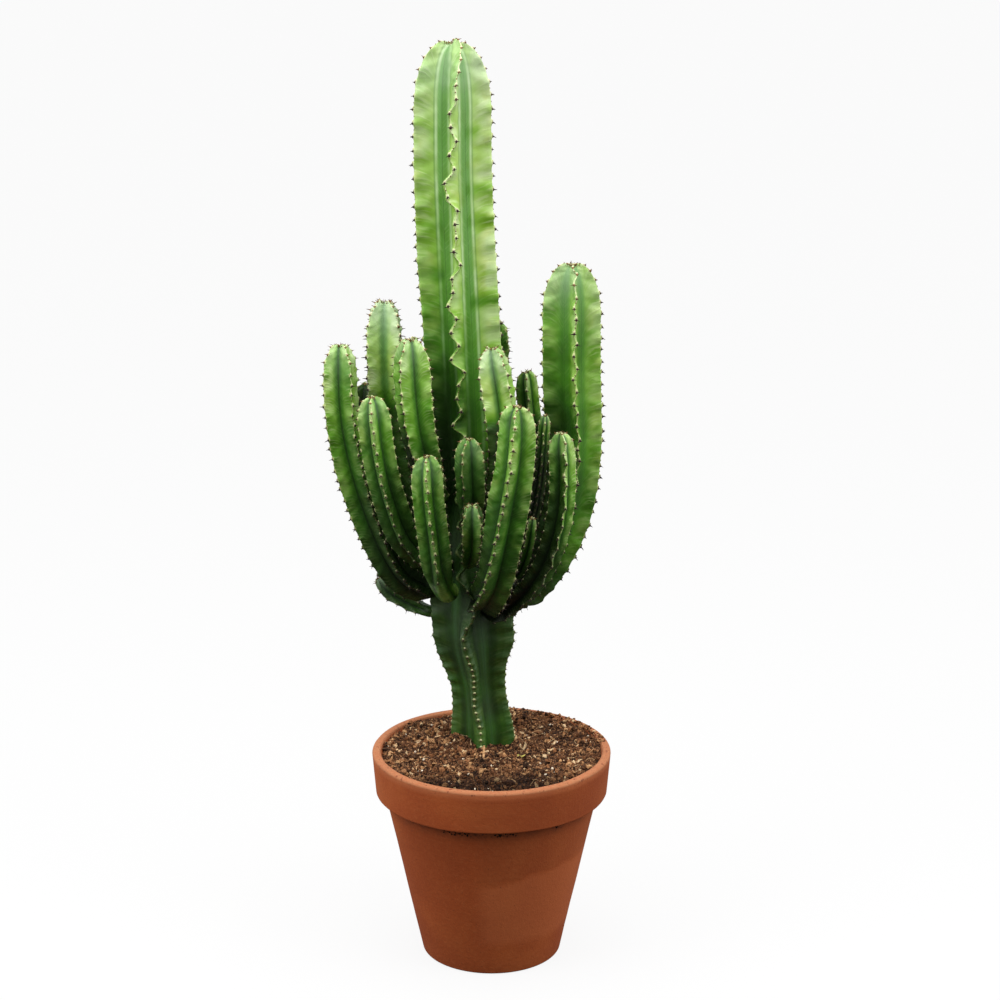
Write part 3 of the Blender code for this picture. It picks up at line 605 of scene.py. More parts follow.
class Graph:
    """The nodes of a material or a sky, made by short calls."""

    def __init__(self, owner):
        owner.use_nodes = True
        self.owner = owner
        self.tree = owner.node_tree

    def plug(self, socket, value):
        """Set a socket to a number, a colour or another node's output."""
        if isinstance(value, bpy.types.NodeSocket):
            self.tree.links.new(value, socket)
        else:
            socket.default_value = value

    def node(self, kind, sockets=(), **settings):
        """A node with its settings, and pairs of an input and what goes into it."""
        node = self.tree.nodes.new("ShaderNode" + kind)
        for label, value in settings.items():
            setattr(node, label, value)
        for label, value in sockets:
            self.plug(node.inputs[label], value)
        return node

    def attribute(self, name):
        """A value stored at the points of the mesh."""
        return self.node("Attribute", attribute_name=name).outputs["Fac"]

    def place(self, kind="Object"):
        """Where a point is on the object, in metres, or another kind of place."""
        return self.node("TexCoord").outputs[kind]

    def split(self, vector):
        """The x, y and z of a vector."""
        return self.node("SeparateXYZ", [(0, vector)]).outputs

    def join(self, *parts):
        """A vector from three values."""
        return self.node("CombineXYZ", enumerate(parts)).outputs[0]

    def maths(self, operation, one, other=0.0):
        """One step of arithmetic."""
        return self.node("Math", [(0, one), (1, other)], operation=operation).outputs[0]

    def plus(self, one, other):
        """The sum of two values."""
        return self.maths("ADD", one, other)

    def times(self, product, *others):
        """The product of all the values."""
        for other in others:
            product = self.maths("MULTIPLY", product, other)
        return product

    def spread(self, value, low, high, to_low=0.0, to_high=1.0, curve="SMOOTHSTEP"):
        """A value moved from one range to another, held at the ends."""
        labels = ("Value", "From Min", "From Max", "To Min", "To Max")
        sockets = zip(labels, (value, low, high, to_low, to_high))
        return self.node("MapRange", sockets, interpolation_type=curve, clamp=True).outputs["Result"]

    def line(self, value, low, high, to_low, to_high):
        """A value moved evenly from one range to another, held at the ends."""
        return self.spread(value, low, high, to_low, to_high, "LINEAR")

    def noise(self, vector, scale, detail=2.0, rough=0.5, twist=0.0):
        """Soft noise from 0 to 1."""
        labels = ("Vector", "Scale", "Detail", "Roughness", "Distortion")
        return self.node("TexNoise", zip(labels, (vector, scale, detail, rough, twist))).outputs["Fac"]

    def mix(self, share, one, other, mode="MIX"):
        """Two colours mixed."""
        sockets = [("Factor", share), (6, one), (7, other)]
        return self.node("Mix", sockets, data_type="RGBA", blend_type=mode, clamp_factor=True).outputs[2]

    def cover(self, colour, tone, *shares):
        """A colour covered by a tone of 0 to 255, by the product of the shares."""
        return self.mix(self.times(*shares), colour, srgb(*tone))

    def tint(self, colour, tone, *shares, mode="MULTIPLY"):
        """A colour multiplied by a tone of 0 to 255, by the product of the shares."""
        return self.mix(self.times(*shares), colour, self.mix(1.0, colour, srgb(*tone), mode))

    def ramp(self, value, *stops, top=1.0):
        """A colour read from a ramp. A stop is a value, up to the top, and a tone of 0 to 255."""
        node = self.node("ValToRGB", [(0, value if top == 1.0 else self.times(value, 1.0 / top))])
        points = node.color_ramp.elements
        while len(points) < len(stops):
            points.new(0.5)
        for point, (place, *tone) in zip(points, stops):
            point.position = place / top
            point.color = srgb(*tone)
        return node.outputs[0]

    def relief(self, height, depth, *before):
        """Bump from a height of 0 to 1, with its depth in metres."""
        sockets = zip(("Strength", "Distance", "Height", "Normal"), (1.0, depth, height, *before))
        return self.node("Bump", sockets).outputs[0]

    def finish(self, colour, roughness, normal):
        """Wire the last results to the shader."""
        for label, value in (("Base Color", colour), ("Roughness", roughness), ("Normal", normal)):
            self.plug(self.shader[label], value)
        return self.owner


def material_graph(name, roughness, specular):
    """The nodes of a new material, with its shader's plain values set."""
    g = Graph(bpy.data.materials.new(name))
    g.shader = g.tree.nodes["Principled BSDF"].inputs
    g.shader["Roughness"].default_value = roughness
    g.shader["Specular IOR Level"].default_value = specular
    return g


def skin_material(name, vein_width, vein_depth, band_depth, rim_least, valley_shade, striped):
    """Waxy green skin: pale veins on the ribs, a pale crease, a cream rib edge."""
    g = material_graph(name, 0.45, 0.3)
    labels = ("age_and_shade", "flank", "edge", "crease", "tooth", "vein", "bloom_and_sheen", "stem", "hollow", "reach", "cork_and_highlight")
    age_and_shade, flank, edge, crease, tooth, vein, bloom_and_sheen, stem, hollow, reach, cork_and_highlight = map(g.attribute, labels)
    place = g.place()

    def streaks(along, across):
        """Noise that follows the veins, by how quickly it changes along the rib and across it."""
        return g.noise(g.join(g.times(vein, along), g.times(flank, across), stem), 1.0)

    # Broad patches shift the age and painted shade a little; past 1 the ramp runs on into painted deep shade
    patches = g.noise(place, 22.0, 3.0, 0.55)
    patchy_age_and_shade = g.plus(age_and_shade, g.line(patches, 0.3, 0.7, -0.12, 0.12))
    green = g.ramp(patchy_age_and_shade, (0.0, 164, 200, 102), (0.25, 132, 180, 62), (0.5, 90, 146, 32), (0.75, 54, 102, 22),
                   (1.0, 42, 72, 24), (DARKEST, 16, 28, 10), top=DARKEST)

    # The flat core between two wings is bluer and gets painted shade, and the hollow
    #     # between two ribs is darkened with painted shade
    core_tone_and_shade = g.spread(flank, 0.10, 0.45, 1.0, 0.0)
    green = g.tint(green, (160, 194, 186), core_tone_and_shade, g.line(age_and_shade, 0.3, 1.0, 1.0, 0.35))
    groove_shade = g.spread(g.times(flank, reach), 0.2, 2.0, 0.62, 0.0)
    green = g.tint(green, (92, 132, 84), groove_shade, hollow)
    green = g.tint(green, (150, 176, 120), g.spread(flank, 0.04, 0.5, 1.0, 0.0), valley_shade, hollow)

    # Old wood has soft bands along it: light in the hollow and beside the edge, dark between
    if striped:
        old = g.times(g.spread(age_and_shade, 0.84, 0.95), g.spread(g.noise(place, 18.0), 0.3, 0.6, 0.45, 1.0))
        for middle, half, share, tone, mode in TRUNK_BANDS:
            away = g.maths("ABSOLUTE", g.maths("SUBTRACT", flank, middle))
            green = g.tint(green, tone, g.spread(away, 0.3 * half, half, share, 0.0), old, mode=mode)

    # Soft bands along the rib, paler and deeper by turns
    bands = streaks(62.0, 0.8)
    side = g.spread(flank, 0.25, 0.7)
    pale = g.ramp(age_and_shade, (0.0, 214, 232, 178), (0.5, 158, 198, 98), (1.0, 80, 112, 42))
    green = g.mix(g.times(g.spread(bands, 0.40, 0.62), side, g.line(age_and_shade, 0.5, 1.0, 0.8, 0.2)), green, pale)
    green = g.tint(green, (196, 208, 110), g.spread(bands, 0.40, 0.28), side, band_depth)

    # Olive patches
    green = g.tint(green, (255, 236, 150), g.spread(g.noise(place, 44.0), 0.46, 0.7), 0.38)

    # Fine pale veins that run up and out to the edge
    phase = g.plus(g.times(vein, TURN / vein_width), g.times(streaks(150.0, 1.2), 14.0))
    phase = g.plus(phase, g.spread(flank, 0.5, 0.0, 0.0, 5.0))
    fine = g.spread(g.maths("SINE", phase), -0.2, 1.0)
    lines = g.times(fine, g.spread(streaks(110.0, 1.2), 0.38, 0.66, 0.08, 1.0))
    lines = g.times(lines, g.spread(flank, 0.3, 0.85, 0.16, 1.0))
    faint = g.line(age_and_shade, 0.3, 0.95, vein_depth, 0.22 * vein_depth)
    green = g.mix(g.times(lines, faint), green, g.mix(0.4, pale, srgb(222, 232, 176)))

    # A pale line along the crease, and a shadow on its inner side
    fading = g.line(age_and_shade, 0.2, 0.95, 1.0, 0.0)
    line = g.spread(g.maths("ABSOLUTE", crease), 0.0, 3.4, 0.85, 0.0)
    broken = g.spread(g.noise(g.join(g.times(vein, 30.0), stem, flank), 1.0), 0.3, 0.62, 0.2, 0.7)
    green = g.mix(g.times(line, broken, fading), green, g.mix(0.5, pale, srgb(196, 222, 190)))
    shadow = g.spread(g.maths("ABSOLUTE", g.plus(crease, 2.0)), 0.3, 1.3, 0.45, 0.0)
    green = g.tint(green, (150, 178, 140), shadow, fading)

    # Pale bloom round the growing point, partly painted highlight, and cork, one spot of it a painted
    # highlight
    mottled = g.spread(patches, 0.35, 0.65, 0.25, 0.75)
    green = g.cover(green, (178, 204, 170), bloom_and_sheen, g.spread(flank, 0.1, 0.5, 0.8, 1.0), mottled)
    cork_and_highlight = g.times(cork_and_highlight, g.spread(g.noise(place, 300.0, 3.0), 0.35, 0.55, 0.3, 1.0))
    green = g.mix(cork_and_highlight, green, g.mix(g.noise(place, 420.0), srgb(96, 118, 84), srgb(150, 160, 128)))

    # The rib's edge: a thin cream line with dark dots, wider round each spine shield
    width = g.plus(edge, g.line(g.noise(place, 520.0, 2.0, 0.6), 0.3, 0.7, -0.4, 0.4))
    cream = g.ramp(age_and_shade, (0.0, 226, 232, 186), (0.5, 204, 210, 142), (1.0, 128, 134, 82), (DARKEST, 50, 54, 34),
                   top=DARKEST)
    dots = g.noise(g.join(g.times(tooth, 2.6), stem, g.times(flank, 2.0)), 1.0)
    cream = g.cover(cream, (84, 66, 36), g.spread(dots, 0.56, 0.66, 0.0, 0.8))
    gaps = g.spread(g.noise(place, 260.0), 0.40, 0.60, rim_least, 0.95)
    rim = g.times(g.spread(width, 0.20, 0.70, 1.0, 0.0), gaps, g.spread(age_and_shade, 0.85, 0.97, 1.0, 0.3))
    green = g.mix(rim, green, cream)
    near = g.spread(g.maths("COSINE", g.times(g.maths("SUBTRACT", tooth, 0.05), TURN)), 0.3, 0.8)
    halo = g.times(near, g.spread(width, 0.9, 2.1, 0.95, 0.0), g.spread(age_and_shade, 0.8, 0.95, 1.0, 0.2))
    green = g.mix(halo, green, cream)

    # Tiny spots, an uneven shine, and veins that stand up a little
    colour = g.tint(green, (150, 140, 110), g.spread(g.noise(place, 900.0, 1.0), 0.68, 0.8, 0.0, 0.35))
    rough = g.line(g.noise(place, 160.0, 3.0), 0.3, 0.7, 0.38, 0.56)
    bump = g.relief(g.times(lines, g.spread(age_and_shade, 0.3, 0.9, 1.0, 0.35)), VEIN_RELIEF)
    return g.finish(colour, rough, g.relief(g.noise(place, 1300.0), SKIN_GRAIN, bump))


def spine_material():
    """Hard dark spines, redder where young, and the paler pads."""
    g = material_graph("spines", 0.5, 0.3)
    young, point, pad = map(g.attribute, ("young", "point", "pad"))
    old = g.ramp(point, (0.0, 70, 48, 34), (0.3, 36, 22, 16), (1.0, 18, 12, 10))
    fresh = g.ramp(point, (0.0, 176, 146, 86), (0.35, 120, 84, 46), (1.0, 58, 32, 22))
    cream = g.ramp(young, (0.0, 64, 62, 42), (0.33, 152, 154, 112), (0.6, 196, 198, 146),
                   (1.0, 220, 220, 176))
    colour = g.mix(pad, g.mix(g.spread(young, 0.0, 0.7), old, fresh), cream)
    grain = g.noise(g.place(), 1400.0)
    colour = g.cover(colour, (104, 88, 70), g.spread(grain, 0.45, 0.75, 0.0, 0.3))
    return g.finish(colour, g.line(grain, 0.3, 0.7, 0.42, 0.62), g.relief(grain, SKIN_GRAIN))


def clay_material():
    """Unglazed fired clay with cloudy tone, painted light and shade, a paler lip and specks of soil under the
    band.
    """
    g = material_graph("terracotta", 0.8, 0.3)
    place = g.place()
    x, y, z = g.split(place)
    cloud = g.noise(place, 7.5, 4.0, 0.55, 0.4)
    grain = g.noise(place, 260.0, 4.0, 0.65)
    turned = g.noise(g.join(0.0, 0.0, z), 420.0, 3.0, 0.6)
    slant = g.plus(z, g.times(x, -0.17))
    wavy = g.plus(slant, g.spread(cloud, 0.3, 0.7, -0.006, 0.006))
    right = g.spread(g.plus(x, g.times(cloud, 0.02)), -0.014, 0.010)
    right = g.times(right, g.spread(y, 0.03, -0.02))
    band_side = g.times(g.spread(y, 0.0, -0.04), g.spread(z, 0.1785, 0.182))
    under_band = g.spread(z, 0.1795, 0.1785)
    crumbs = g.spread(g.noise(place, 330.0, 3.0, 0.7), 0.52, 0.58)
    clumps = g.times(g.spread(g.noise(place, 26.0), 0.56, 0.62), crumbs)
    nicks = g.noise(place, 170.0, 3.0, 0.7)
    layers = (
        # Painted shade darkening the foot, light and dark grain, and lines from the turning
        ((118, 46, 20), g.spread(g.plus(z, g.times(cloud, 0.05)), 0.02, 0.09, 0.25, 0.0)),
        ((190, 112, 66), g.spread(grain, 0.42, 0.75, 0.0, 0.2)),
        ((112, 54, 34), g.spread(grain, 0.4, 0.2, 0.0, 0.3)),
        ((186, 104, 58), g.spread(turned, 0.5, 0.75, 0.0, 0.16)),
        # A painted highlight, a broad lighter patch low on the viewer's right, and painted shade above it as
        # browner clay
        ((192, 106, 62), g.spread(wavy, 0.114, 0.106), g.spread(z, 0.030, 0.046), right, 0.42),
        ((110, 62, 34), g.spread(wavy, 0.108, 0.116), g.spread(z, 0.177, 0.170), right, 0.16),
        # A paler lip, painted light on its top and outer round, darker clay on the band in front, and nicks
        # in the lip
        ((172, 118, 82), g.spread(z, 0.2200, 0.2225, 0.0, 0.8), g.spread(grain, 0.3, 0.7, 0.5, 1.0)),
        ((196, 132, 92), g.spread(z, 0.2130, 0.2200, 0.0, 0.2)),
        ((96, 42, 18), g.spread(x, -0.05, 0.0), band_side, g.spread(z, 0.2190, 0.2140, 0.0, 0.22)),
        ((108, 50, 32), g.spread(z, 0.2165, 0.2215), g.spread(nicks, 0.60, 0.68, 0.0, 0.8)),
        # Mottled painted shade in the band's shadow, specks of soil there, and dark flecks all over
        ((96, 54, 34), g.spread(z, 0.160, 0.1765), under_band,
         g.spread(g.noise(place, 38.0, 3.0, 0.6), 0.38, 0.62, 0.1, 0.55)),
        ((44, 22, 16), g.times(g.spread(z, 0.1665, 0.1745), under_band), clumps),
        ((92, 44, 28), g.spread(g.noise(place, 480.0, 1.0), 0.72, 0.76, 0.0, 0.5)),
    )
    colour = g.ramp(cloud, (0.28, 150, 66, 26), (0.45, 162, 75, 31), (0.6, 173, 86, 38), (0.8, 182, 98, 48))
    for tone, *shares in layers:
        colour = g.cover(colour, tone, *shares)
    bump = g.relief(turned, TURNING_RELIEF, g.relief(grain, CLAY_RELIEF))
    bump = g.relief(g.noise(place, 1500.0), CLAY_GRAIN, bump)
    return g.finish(colour, g.line(grain, 0.3, 0.7, 0.72, 0.9), bump)


def soil_material():
    """Coarse peat: dark brown, with lighter crumbs. Each shape carries its own tone."""
    g = material_graph("soil", 0.95, 0.2)
    tone = g.attribute("tone")
    place = g.place()
    speck = g.noise(place, 520.0, 4.0, 0.75)
    patch = g.noise(place, 34.0, 3.0, 0.6)
    # The bed's dark base tones are partly the peat's own colour and partly painted shade in the gaps between
    # crumbs
    base = g.ramp(g.plus(g.times(patch, 0.25), g.times(speck, 0.75)),
                  (0.40, 20, 12, 8), (0.48, 58, 36, 24), (0.56, 120, 82, 56), (0.66, 190, 148, 110))
    own = g.ramp(tone, (0.0, 26, 16, 11), (0.3, 82, 52, 34), (0.6, 146, 100, 68), (0.85, 204, 162, 120),
                 (1.0, 240, 214, 178))
    colour = g.mix(g.spread(tone, -0.5, -0.1), base, own)
    colour = g.cover(colour, (44, 27, 18), g.spread(speck, 0.52, 0.40, 0.0, 0.75))
    colour = g.cover(colour, (206, 166, 126), g.spread(speck, 0.56, 0.68, 0.0, 0.6))
    # Darker toward the viewer, a warm cast, and one yellow-green flake
    front_darkening = g.spread(g.plus(g.split(place)[1], g.times(patch, 0.03)), -0.030, -0.072, 0.0, 0.9)
    colour = g.tint(colour, (132, 122, 110), front_darkening)
    colour = g.mix(1.0, colour, srgb(255, 247, 232), "MULTIPLY")
    colour = g.cover(colour, (188, 174, 92), g.spread(tone, 1.1, 1.2))
    return g.finish(colour, g.line(speck, 0.3, 0.7, 0.86, 1.0), g.relief(speck, SOIL_RELIEF))


def perlite_material():
    """White volcanic grains with a few brown smears."""
    g = material_graph("perlite", 0.85, 0.3)
    place = g.place()
    grain = g.noise(place, 500.0)
    colour = g.mix(g.spread(grain, 0.45, 0.7, 0.0, 0.7), srgb(236, 222, 198), srgb(150, 118, 86))
    bump = g.relief(g.noise(place, 1600.0), PERLITE_RELIEF)
    return g.finish(colour, g.spread(grain, 0.3, 0.7, 0.75, 0.95), bump)


# Stems


def smooth_route(points):
    """A close row of points on a smooth curve through a route's own points."""
    points = np.array(points, float) * MM
    ends = np.vstack([2 * points[0] - points[1], points, 2 * points[-1] - points[-2]])
    t = (np.arange(ROUTE_SAMPLES) / ROUTE_SAMPLES)[:, None]
    rows = []
    for a, b, c, d in zip(ends, ends[1:], ends[2:], ends[3:]):
        rows.append(0.5 * (2 * b + (c - a) * t + (2 * a - 5 * b + 4 * c - d) * t ** 2
                           + (3 * b - a - 3 * c + d) * t ** 3))
    rows.append(points[-1:])
    return np.vstack(rows)


class Stem:
    """A ribbed stem worked out on close rings along the edge of its ribs."""

    def __init__(self, name, number, design, radius_at, face_at, wave_at, tooth_at, age_and_shade_at, front_table=None):
        neck = number > 0
        self.name = name
        self.number = number
        self.design = design
        self.age_and_shade_at = age_and_shade_at
        self.front_table = front_table
        self.winged = "winged" in design
        self.lift = design.get("lift") or [CROWN_UNEVEN * math.sin(2.3 * rib + number) for rib in range(RIBS)]
        self.bare = design.get("round", ROOT_ROUND_OVER) * MM
        self.outline = np.array(WING_OUTLINE if self.winged else RIB_OUTLINE)
        self.row = smooth_route(design["route"])
        self.row_marks = marks_along(self.row)
        self.length = self.row_marks[-1]
        self.tip_radius = float(radius_at(np.array(1.0)))
        self.set_rings(radius_at, tooth_at, neck)
        height = self.point_at(self.distance)[:, 2]
        trunk = 0.0 * height if neck else smooth((STOUT_BELOW + STOUT_OVER - height) / STOUT_OVER)
        self.stout = STOUT_SHARE * trunk
        self.rounded = smooth(1.6 - self.distance / self.bare) if neck else 0.0 * height
        self.face = face_at(self.distance / self.length)
        self.wave = wave_at(self.distance / self.length)
        self.set_frames()

    def point_at(self, distance):
        """Points of the centre line at distances from its start."""
        return np.stack([np.interp(distance, self.row_marks, values) for values in self.row.T], axis=-1)

    def set_rings(self, radius_at, tooth_at, neck):
        """Rings at even shares of a tooth, counted along the rib's edge and over the crown."""
        crown = CROWN_LENGTH * self.tip_radius
        body = np.arange(0.0, self.length - crown, COUNT_STEP)
        turn = np.linspace(0.0, CROWN_TURN, CROWN_COUNTS)
        power = 2.0 / CROWN_POWER
        distance = np.concatenate([body, self.length - crown + crown * np.sin(turn) ** power])
        shrink = np.concatenate([np.ones(len(body)), np.cos(turn) ** power])
        full = radius_at(distance / self.length)
        if neck:
            reach = smooth(distance / (NECK_LENGTH * full[0]))
            full = full * (NECK_RADIUS + (1.0 - NECK_RADIUS) * reach)
        radius = full * shrink
        step = np.hypot(np.diff(distance), np.diff(radius))
        pitch = tooth_at(distance) * (CROWN_PITCH + (1.0 - CROWN_PITCH) * shrink)
        count = np.concatenate([[0.0], np.cumsum(step * 2.0 / (pitch[1:] + pitch[:-1]))])
        below = self.length - CROWN_SHARE * self.tip_radius
        count += round(below / tooth_at(np.array([below]))[0]) - np.interp(below, distance, count)
        self.ticks = np.arange(math.ceil(count[0] * RINGS_A_TOOTH), math.floor(count[-1] * RINGS_A_TOOTH) + 1)
        self.teeth = self.ticks / RINGS_A_TOOTH
        # On branches the teeth are not quite evenly spaced
        warp = TOOTH_UNEVEN if neck else 0.0
        at = self.teeth + warp * (np.sin(2.1 * self.teeth + self.number) + 0.6 * np.sin(4.7 * self.teeth))
        at[0], at[-1] = self.teeth[0], self.teeth[-1]
        at = np.clip(at, at[0], at[-1])
        self.distance, self.radius, self.full, self.shrink = (
            np.interp(at, count, values) for values in (distance, radius, full, shrink))

    def set_frames(self):
        """Centre, direction, and the viewer's side carried down from the tip without twisting."""
        ahead = np.minimum(self.distance + DIRECTION_STEP, self.length)
        self.centre = self.point_at(self.distance)
        self.along = unit(self.point_at(ahead) - self.point_at(np.maximum(ahead - 2 * DIRECTION_STEP, 0.0)))
        front = VIEWER - self.along[-1] * VIEWER.dot(self.along[-1])
        fronts = []
        for direction in self.along[::-1]:
            front = unit(front - direction * front.dot(direction))
            fronts.append(front)
        self.front = np.array(fronts[::-1])
        self.side = np.cross(self.along, self.front)

    def outward(self, rib):
        """The direction out along a rib, at every ring."""
        angle = (self.face + rib * QUARTER)[:, None]
        return self.front * np.cos(angle) + self.side * np.sin(angle)

    def sway(self, rib):
        """How far a rib's edge stands aside, at every ring."""
        if rib % RIBS == 0 and self.front_table is not None:
            return self.front_sway()
        uneven = 0.75 + 0.25 * np.sin(2.3 * self.teeth + 1.7 * rib)
        uneven = uneven + 0.22 * np.sin(0.61 * self.teeth + 2.9 * rib + self.number)
        calm = SIDE_WAVE if self.winged and rib % 2 else 1.0
        wave = np.minimum(self.wave, WAVE_CAP * self.radius * calm)
        drift = WAVE_DRIFT * wave * np.sin(0.37 * self.teeth + 1.3 * rib + 2.1 * self.number)
        return -wave * uneven * np.cos(math.pi * (self.teeth + rib)) + drift

    def front_sway(self):
        """The same for the main stem's front rib, which follows its own table."""
        heights, offsets = self.front_table
        height = self.centre[:, 2]
        place = np.clip(np.searchsorted(heights, height) - 1, 0, len(heights) - 2)
        share = (height - heights[place]) / (heights[place + 1] - heights[place])
        rise = offsets[place + 1] - offsets[place]
        loop = -RIB_LOOP * np.tanh(rise / LOOP_SOFT) * np.sin(math.pi * share) * (1.0 - share)
        loop = loop * smooth((height - LOOP_FROM) / LOOP_OVER)
        return (offsets[place] + rise * smooth(share) + loop) * self.shrink

    def bump(self, rib):
        """The swelling of the rib's edge at each tooth, 0 to 1, uneven from tooth to tooth."""
        turn = np.cos(TURN * self.teeth)
        uneven = np.sin(1.9 * np.round(self.teeth) + 2.6 * rib + self.number)
        at_tooth = (0.5 + 0.5 * turn) ** 2 * (0.8 + 0.2 * uneven)
        return at_tooth + BETWEEN_BUMP * (0.5 - 0.5 * turn) ** 3 * (0.6 - 0.4 * uneven)

    def rib_points(self, rib, index, hand):
        """One of the outline's lines along a rib, at every ring, on one side of the rib."""
        slim, full = self.outline[index], np.array(TRUNK_OUTLINE[min(index, len(TRUNK_OUTLINE) - 1)])
        out_share, aside_share = (slim[:, None] + (full - slim)[:, None] * self.stout)
        turn = 0.25 * math.pi * index / (len(self.outline) - 1)
        out_share = out_share + (ROOT_ROUND * math.cos(turn) - out_share) * self.rounded
        aside_share = aside_share + (ROOT_ROUND * math.sin(turn) - aside_share) * self.rounded
        bent = smooth((out_share - WAVE_FROM) / (1.0 - WAVE_FROM))
        tooth = smooth((out_share - TOOTH_FROM) / (1.0 - TOOTH_FROM))
        size = np.minimum(self.full / FULL_TOOTH_RADIUS, 1.0) * (0.35 + 0.65 * self.shrink)
        size = size * (1.0 - 0.6 * self.stout)
        swelling = self.bump(rib)
        hollow = smooth((1.0 - out_share) * 2.0) * smooth((out_share - 0.3) * 5.0)
        pucker = PUCKER * (1.0 - self.stout) * hollow * np.cos(TURN * (self.teeth - 1.5 * (1.0 - out_share)))
        wider = self.design.get("wider", {}).get(rib % RIBS, ((0, 0),))
        farther = table_value(wider, self.centre[:, 2] / MM) * MM * out_share * self.shrink
        reach = out_share * (self.radius + farther) + swelling * TOOTH_BUMP * size * tooth
        lean = aside_share * hand * self.radius * (1.0 + TOOTH_THICK * swelling * tooth)
        lean = lean + self.sway(rib) * bent
        if index:
            lean = lean + hand * pucker
        sink = CROWN_DIP * self.full * smooth((0.34 - self.shrink) / 0.34)
        sink = sink + HOLLOW_DIP * self.full * smooth((1.0 - self.shrink) * 1.3) * (1.0 - out_share)
        sink = sink - self.lift[rib % RIBS] * MM * smooth((0.85 - self.shrink) * 1.6) * out_share
        out, aside = self.outward(rib), self.outward(rib + 1)
        return self.centre + out * reach[:, None] + aside * lean[:, None] - self.along * sink[:, None]

    def shade_at(self, rib, hand):
        """How much painted shade one flank of a rib gets, painted light where negative, at every ring."""
        rows = self.design.get("shade", {}).get(rib, ((0, 0.0, 0.0),))
        height = self.centre[:, 2] / MM
        shade = table_value([(row[0], row[1 + (hand > 0)]) for row in rows], height)
        for place, side, middle, amount in self.design.get("patches", ()):
            if (place, side) == (rib, hand):
                shade = shade + amount * np.exp(-(((height - middle) / PATCH_HEIGHT) ** 2))
        return shade

    def build_skin(self, material, slot):
        """The stem's skin as one closed mesh that stands for the stem's solid."""
        arcs = marks_along(self.outline)
        last = len(arcs) - 1
        # Once round: for each rib the hollow before it, one flank, the edge, the other flank
        places = [(index, -1) for index in range(last, 0, -1)] + [(index, 1) for index in range(last)]
        from_tip = self.length - self.distance
        tip_rise = VEIN_RISE_TIP * np.exp(-from_tip / (2.0 * self.tip_radius))
        skin_age_and_shade = self.age_and_shade_at(from_tip, self.centre[:, 2])
        creases = CREASELESS * np.ones(len(arcs)) if self.number else arcs - arcs[WING_CREASE]
        level = np.ones(len(self.teeth))
        lines = []
        rows = {label: [] for label in ("flank", "edge", "crease", "vein", "age_and_shade")}
        for rib in range(RIBS):
            for index, hand in places:
                lines.append(self.rib_points(rib, index, hand))
                near = 1.0 - arcs[index] / arcs[last]
                rise = (VEIN_RISE + tip_rise) * self.full * (1.0 - (1.0 - near) ** 2)
                rows["flank"].append(near * level)
                rows["edge"].append(arcs[index] * self.radius / MM + EDGELESS * self.rounded)
                rows["crease"].append(creases[index] * (level if self.number else self.radius / MM))
                rows["vein"].append(self.distance - rise + 0.37 * rib)
                rows["age_and_shade"].append(skin_age_and_shade + self.shade_at(rib, hand))
        around = len(lines)
        rings = len(self.teeth)
        low_hub = rings * around
        hubs = [
            self.centre[0] - self.along[0] * 0.3 * self.radius[0],
            self.centre[-1] - self.along[-1] * (CROWN_DIP + HOLLOW_DIP) * self.full[-1],
        ]
        points = np.vstack([np.stack(lines, axis=1).reshape(-1, 3), hubs])
        faces = grid_faces(rings, around)
        for step in range(around):
            after = (step + 1) % around
            faces.append((low_hub, after, step))
            faces.append((low_hub + 1, low_hub - around + step, low_hub - around + after))
        values = {label: np.stack(row, axis=1).ravel() for label, row in rows.items()}
        bloom_and_sheen = np.exp(-((from_tip / (BLOOM_AND_SHEEN_REACH * self.tip_radius)) ** 2))
        bloom_and_sheen = self.design.get("bloom_and_sheen", BRANCH_BLOOM_AND_SHEEN) * bloom_and_sheen
        beyond = BEYOND_WING if self.winged else EDGELESS * self.rounded
        values["tooth"] = np.repeat(self.teeth, around)
        values["bloom_and_sheen"] = np.repeat(bloom_and_sheen, around)
        values["reach"] = np.repeat(arcs[last] * self.radius / MM + beyond, around)
        for label, end in HUB_VALUES.items():
            values[label] = np.append(values[label], [end, end])
        values["stem"] = np.full(len(points), self.number * 1.7)
        values["hollow"] = np.full(len(points), self.design.get("hollow", 1.0))
        values["cork_and_highlight"] = np.zeros(len(points))
        for *spot, size in CORK_AND_HIGHLIGHT_SPOTS:
            away = np.linalg.norm(points - np.array(spot) * MM, axis=1)
            values["cork_and_highlight"] = np.maximum(values["cork_and_highlight"], smooth(1.3 - away / (size * MM)))
        dress(add_mesh(self.name + "_skin", points, faces, material, values), slot, self.name)

